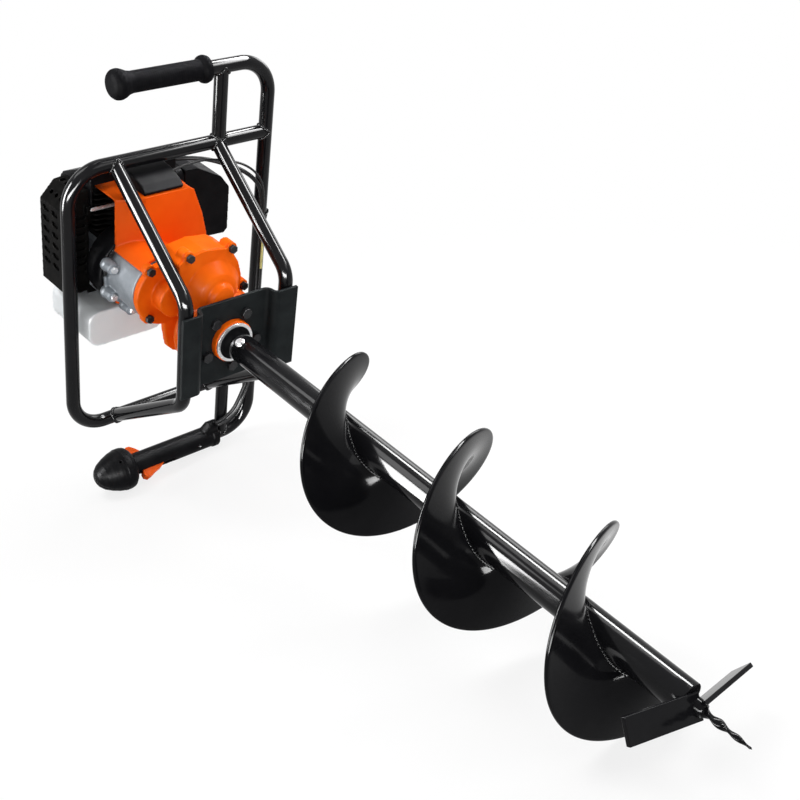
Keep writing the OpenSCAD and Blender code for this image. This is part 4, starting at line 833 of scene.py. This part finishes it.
CASTINGS = {
    "gear_case_front": (1.1, 4),
    "gear_case_rear": (1.3, 4),
    "clutch_housing": (1.1, 3),
    "fan_shroud": (1.1, 4),
    "fan_housing": (1.2, 3),
    "engine_cover": (1.1, 4),
    "muffler_guard": (0.9, 3),
    "filter_cover": (1.1, 4),
    "filter_base": (1.0, 3),
    "starter_case": (1.25, 3),
    "crankcase": (1.4, 3),
    "fuel_tank": (1.4, 8),
    "fuel_cap": (0.7, 3),
    "throttle_upper": (0.9, 4),
    "throttle_lower": (0.9, 4),
    "trigger": (0.5, 5),
    "lockout": (0.5, 5),
    "starter_handle": (0.7, 4),
    "choke_lever": (0.5, 3),
}
for name, (voxel, passes) in CASTINGS.items():
    piece = softened(name, voxel, passes, reshape=head if name.startswith("throttle") else None)
    print(name, "faces", len(piece.data.polygons))

# %% [markdown]
# Bolts, the plate, the muffler and the fins keep crisp faces and only lose the knife edge. Their copies
# are joined, flat triangles are dissolved into whole faces, and a narrow bevel with weighted normals
# catches the light along each edge. The screws of the handle are blackened, unlike other bare steel.

# %% Crisp copies with a narrow bevel
FLAT_DEG = 0.4
OTHER_SLOT = {"handle_screws": "black_bolt"}


def crisp(node_name, width_mm, angle=32.0):
    """A piece in place of a node: whole flat faces, a bevel of the given width, and weighted normals."""
    slot = OTHER_SLOT.get(node_name, slot_of[node_name])
    mesh = joined_copy(node_name, FLAT_DEG)
    mesh.name = node_name + "_crisp"
    piece = place(node_name + "_crisp", mesh, slot, body_of[node_name], node_name, sharp=angle)
    bevel = piece.modifiers.new("edge", "BEVEL")
    bevel.width, bevel.segments = width_mm / 1000.0, 2
    bevel.limit_method, bevel.angle_limit = "ANGLE", math.radians(angle)
    bevel.use_clamp_overlap = True
    normals = piece.modifiers.new("normals", "WEIGHTED_NORMAL")
    normals.keep_sharp = False
    return piece


EDGES = {
    "plate": 0.6,
    "plate_bolts": 0.5,
    "gear_case_bolts": 0.5,
    "housing_bolts": 0.4,
    "boss_ring": 0.3,
    "coupling_pin": 0.4,
    "cylinder": 0.2,
    "muffler": 0.8,
    "guard_stay": 0.4,
    "handle_screws": 0.3,
}
for name, width in EDGES.items():
    piece = crisp(name, width)
    print(name, "faces", len(piece.data.polygons))

# %% [markdown]
# The rubber grip is turned on the same axis as the handlebar's upper leg: a mushroom end that stops the
# hand, a straight barrel, and a rolled collar. Shallow rings on the barrel give hold, and their depth
# fades out before the ends. The profile is a cubic through a few measured radii. Its slope at a radius is
# the harmonic mean of the slopes on both sides, or zero at a turning point, so it never overshoots.

# %% Rubber grip
def cubic(w, start, start_slope, end, end_slope):
    """A cubic stretch from start to end as w goes from 0 to 1, with the given slopes at both ends."""
    return (
        (1 + 2 * w) * (1 - w) ** 2 * start + w * (1 - w) ** 2 * start_slope
        + w * w * (3 - 2 * w) * end + w * w * (w - 1) * end_slope
    )


STEEPEST = 3
GRIP_START, RING_MM, RING_DEEP = -78, 3.2, 0.14
along = np.array([0, 0.6, 3, 8, 12, 17, 25, 32, 60, 100, 128, 132, 136, 141])
radii = np.array([0.4, 10.5, 15.6, 18.8, 19.2, 17.9, 14.5, 13.5, 13.5, 13.5, 13.5, 17, 17.9, 16.5])
steps = np.r_[np.linspace(0, 3, 16, endpoint=False), np.linspace(3, 141, 420)]
secant = np.diff(radii) / np.diff(along)
both = secant[:-1] * secant[1:]
slopes = np.r_[secant[0], np.where(both > 0, 2 * both / (secant[:-1] + secant[1:] + 1e-9), 0), secant[-1]]
k = np.clip(np.searchsorted(along, steps, side="right") - 1, 0, len(along) - 2)
h = along[k + 1] - along[k]
slopes = np.clip(slopes, -STEEPEST, STEEPEST)
curve = cubic((steps - along[k]) / h, radii[k], h * slopes[k], radii[k + 1], h * slopes[k + 1])
fade = np.clip((steps - 36) / 8, 0, 1) * np.clip((124 - steps) / 8, 0, 1)
curve = curve - RING_DEEP * fade * (0.5 - 0.5 * np.cos(2 * np.pi * steps / RING_MM)) ** 4
profile = np.stack([steps + GRIP_START, curve], axis=1)
profile = np.r_[profile, [[63.4, 15.0], [63.4, 9.6]]]
skin("rubber_grip_turned", *shell(turned(profile, 96, "y", (BACK_X, 0, GRIP_Z))),
     "seal_rubber", "frame", "rubber_grip", sharp=50)
print("grip length", steps[-1], "mm")

# %% [markdown]
# The throttle cable, the stop wire and the two fuel hoses are flexible, so each is a smooth curve through
# the points where it is held. A spline through the points gives the route, and the same circle as for
# the tubes is carried along it. Its length is measured and printed.

# %% Cable, wire and fuel hoses
CABLE_X, CABLE_Y, WIRE_X, CABLE_R, WIRE_R, HOSE_R = -160.1, 157.0, -154.9, 3.0, 1.6, 2.6
PER_POINT, CORD_SIDES = 60, 20
PORT_Z, CARB_Y, CASE_X = 118.43, -6.78, -213.0
BARE_Z = (-10.0, 52.0)
CABLE = [
    (CABLE_X, 95, -266.5), (CABLE_X, 109, -262.5), (CABLE_X, 127, -250.5), (CABLE_X, 141, -224.5),
    (CABLE_X, 151, -196.5), (CABLE_X, 157, -146.5), (CABLE_X, 157, -60), (CABLE_X, 157, 40),
    (CABLE_X, 156, 90), (CABLE_X, 147, 122), (CABLE_X - 4, 123, 146), (-179, 91, 160), (-189, 66, 166),
    (-203, 42, 165), (-210, 24, 162), (CASE_X, CARB_Y + 20, PORT_Z + 36), (CASE_X, CARB_Y + 20, PORT_Z + 28.5),
]
WIRE = [
    (WIRE_X, 95, -266.5), (WIRE_X, 110, -263.5), (WIRE_X, 129, -250.5), (WIRE_X, 143, -224.5),
    (WIRE_X, 151, -196.5), (WIRE_X, 157, -146.5), (WIRE_X, 157, -60), (WIRE_X, 157, 40), (WIRE_X, 155, 96),
    (WIRE_X, 145, 134), (WIRE_X - 2, 117, 160), (-169, 78, 170), (-167, 40, 174), (-164, 5.32, 171.28),
]


def spline(points, count):
    """A smooth curve through the points: on each stretch a cubic whose slope at a point is half the step
    from the point before to the point after."""
    p = np.asarray(points, float)
    slope = np.zeros_like(p)
    slope[1:-1] = (p[2:] - p[:-2]) / 2
    slope[0], slope[-1] = (p[1] - p[0]) / 2, (p[-1] - p[-2]) / 2
    t = np.linspace(0, len(p) - 1, count)
    k = np.minimum(t.astype(int), len(p) - 2)
    return cubic((t - k)[:, None], p[k], slope[k], p[k + 1], slope[k + 1])


def flexible(name, points, radius, slot, *replaced, ribs=0.0, rib_mm=2.0):
    """A round cord along a spline, with optional shallow ribs; its measured length is printed."""
    path = spline(points, PER_POINT * len(points))
    run = np.r_[0, np.cumsum(np.linalg.norm(np.diff(path, axis=0), axis=1))]
    size = radius - ribs * (0.5 - 0.5 * np.cos(2 * np.pi * run / rib_mm))
    skin_of_cord = shell(carry(path, size, (1, 0.05, 0.02), CORD_SIDES))
    piece = skin(name, *skin_of_cord, slot, "frame", *replaced, sharp=60)
    print(name, round(float(run[-1])), "mm")
    return piece


flexible("throttle_cable_jacket", CABLE, CABLE_R, "cable_black", "throttle_cable", ribs=0.12)
lead = flexible("stop_wire_lead", WIRE, WIRE_R, "wire_yellow", "stop_wire")
run_z = np.repeat(spline(WIRE, PER_POINT * len(WIRE))[:, 2], CORD_SIDES)
lead.data.attributes.new("bare", "FLOAT", "POINT").data.foreach_set("value", np.where(
    (run_z > BARE_Z[0]) & (run_z < BARE_Z[1]), 1.0, 0.0))
for index, shift in enumerate((0, -16)):
    hose = [
        (CASE_X + 9 + shift, CARB_Y + 22, PORT_Z - 18.9), (CASE_X + 11 + shift, CARB_Y + 24, PORT_Z - 40),
        (CASE_X + 15 + shift, CARB_Y + 19, 48), (CASE_X + 20 + shift, CARB_Y + 8, 20),
        (CASE_X + 24 + shift, -16, 0.5),
    ]
    flexible("fuel_hose_%d" % (index + 1), hose, HOSE_R, "seal_rubber", "fuel_lines")

# %% [markdown]
# Two ties hold the cable and the wire against the handlebar. A tie is pulled tight, so its outline is the
# convex hull of the three round sections, a little outside them. The hull's points are spread evenly, and
# a strap with rounded edges is carried round them. The lock of the tie is a small block on the strap.

# %% Cable ties
TIES_Z, SLACK = (-130, 70), 0.5


def squarish(wave, power):
    """A sine or cosine pressed towards plus and minus one, so that a circle turns into a rounded box."""
    return np.sign(wave) * np.abs(wave) ** power


def hull_of(points):
    """The convex hull of points in a plane, counter-clockwise: a chain keeps only left turns."""
    points = sorted(map(tuple, points))

    def left(a, b, c):
        return (b[0] - a[0]) * (c[1] - b[1]) - (b[1] - a[1]) * (c[0] - b[0]) > 0

    def chain(sequence):
        kept = []
        for q in sequence:
            while len(kept) > 1 and not left(kept[-2], kept[-1], q):
                kept.pop()
            kept.append(q)
        return kept[:-1]

    return np.array(chain(points) + chain(points[::-1]))


def tie(z):
    """A closed strap at one height: the hull, spread evenly, times a flat section with round edges."""
    t = np.linspace(0, 2 * np.pi, 48, endpoint=False)
    discs = ((BACK_X, RUN_Y, TUBE_R), (CABLE_X, CABLE_Y, CABLE_R), (WIRE_X, CABLE_Y, WIRE_R))
    ring = hull_of([
        (x + (r + SLACK) * np.cos(a), y + (r + SLACK) * np.sin(a)) for x, y, r in discs for a in t
    ])
    ring = np.r_[ring, ring[:1]]
    run = np.r_[0, np.cumsum(np.linalg.norm(np.diff(ring, axis=0), axis=1))]
    s = np.linspace(0, run[-1], 160, endpoint=False)
    line = np.stack([np.interp(s, run, ring[:, 0]), np.interp(s, run, ring[:, 1])], axis=1)
    ahead = np.roll(line, -1, axis=0) - np.roll(line, 1, axis=0)
    ahead /= np.linalg.norm(ahead, axis=1)[:, None]
    out = np.stack([ahead[:, 1], -ahead[:, 0]], axis=1)
    q = np.linspace(0, 2 * np.pi, 16, endpoint=False)
    thick = 0.6 + 0.55 * squarish(np.cos(q), 0.4)
    high = 2.4 * squarish(np.sin(q), 0.4)
    flat = line[:, None, :] + thick[None, :, None] * out[:, None, :]
    level = np.broadcast_to(z + high, flat.shape[:2])[..., None]
    return shell(np.concatenate([flat, level], axis=2), loop=True)


def tie_lock(z):
    """The block of a tie, on the side away from the cables: rounded boxes, each a height and a size."""
    t = np.linspace(0, 2 * np.pi, 24, endpoint=False)
    rows = [(0.0, 0.75), (0.3, 0.95), (1, 1), (3.2, 1), (3.9, 0.9), (4.2, 0.6)]
    wide, high = 2.6 * squarish(np.cos(t), 0.35), 3.1 * squarish(np.sin(t), 0.35)
    foot = RUN_Y + TUBE_R + 0.6
    grid = [np.stack([BACK_X + k * wide, np.full(len(t), foot + h), z + k * high], axis=1) for h, k in rows]
    return shell(np.array(grid))


ties = [make(z) for z in TIES_Z for make in (tie, tie_lock)]
skin("cable_ties_tight", *together(ties), "black_plastic", "frame", "cable_ties", sharp=45)
print("ties", len(ties) // 2)

# %% [markdown]
# The drive shaft leaves the boss through a rubber seal. Its flange lies on the silver ring, and its dust
# lip is a thin cone on the shaft, so no bare steel shows between the boss and the bit.

# %% Seal with a dust lip
lip = [
    (-9, 12.95), (-9, 19.7), (-3.2, 19.7), (-3, 18.3), (0.1, 18.3), (0.1, 23), (0.9, 23.4), (1.7, 22.8),
    (2, 19), (6, 13.9), (9.4, 13.3), (9.8, 12.95),
]
skin("boss_seal_lip", *shell(turned(lip), loop=True), "seal_rubber", "frame", "oil_seal", sharp=40)
print("seal lip", len(lip), "points in its profile")

# %% [markdown]
# A thin black plate inside the wall of the muffler's guard closes the lowest slot in its front, so no light
# shows through it: a dark sheet put in as painted shade where the slot would show the background.

# %% Painted-shade plate behind a slot of the guard
SLOT_X, SLOT_Y, SLOT_Z = (-189.4, -188.2), (-121, -105), (41, 47)
shade_plate = [[x, y, z] for x in SLOT_X for y in SLOT_Y for z in SLOT_Z]
sides = [(0, 1, 3, 2), (4, 6, 7, 5), (0, 4, 5, 1), (2, 3, 7, 6), (0, 2, 6, 4), (1, 5, 7, 3)]
# This black plate is painted shade: a dark sheet standing for the shade inside the slot.
skin("guard_slot_shade_plate", np.array(shade_plate, dtype=float), sides, "exhaust_black", "frame")
print("blind slot", len(sides), "faces")
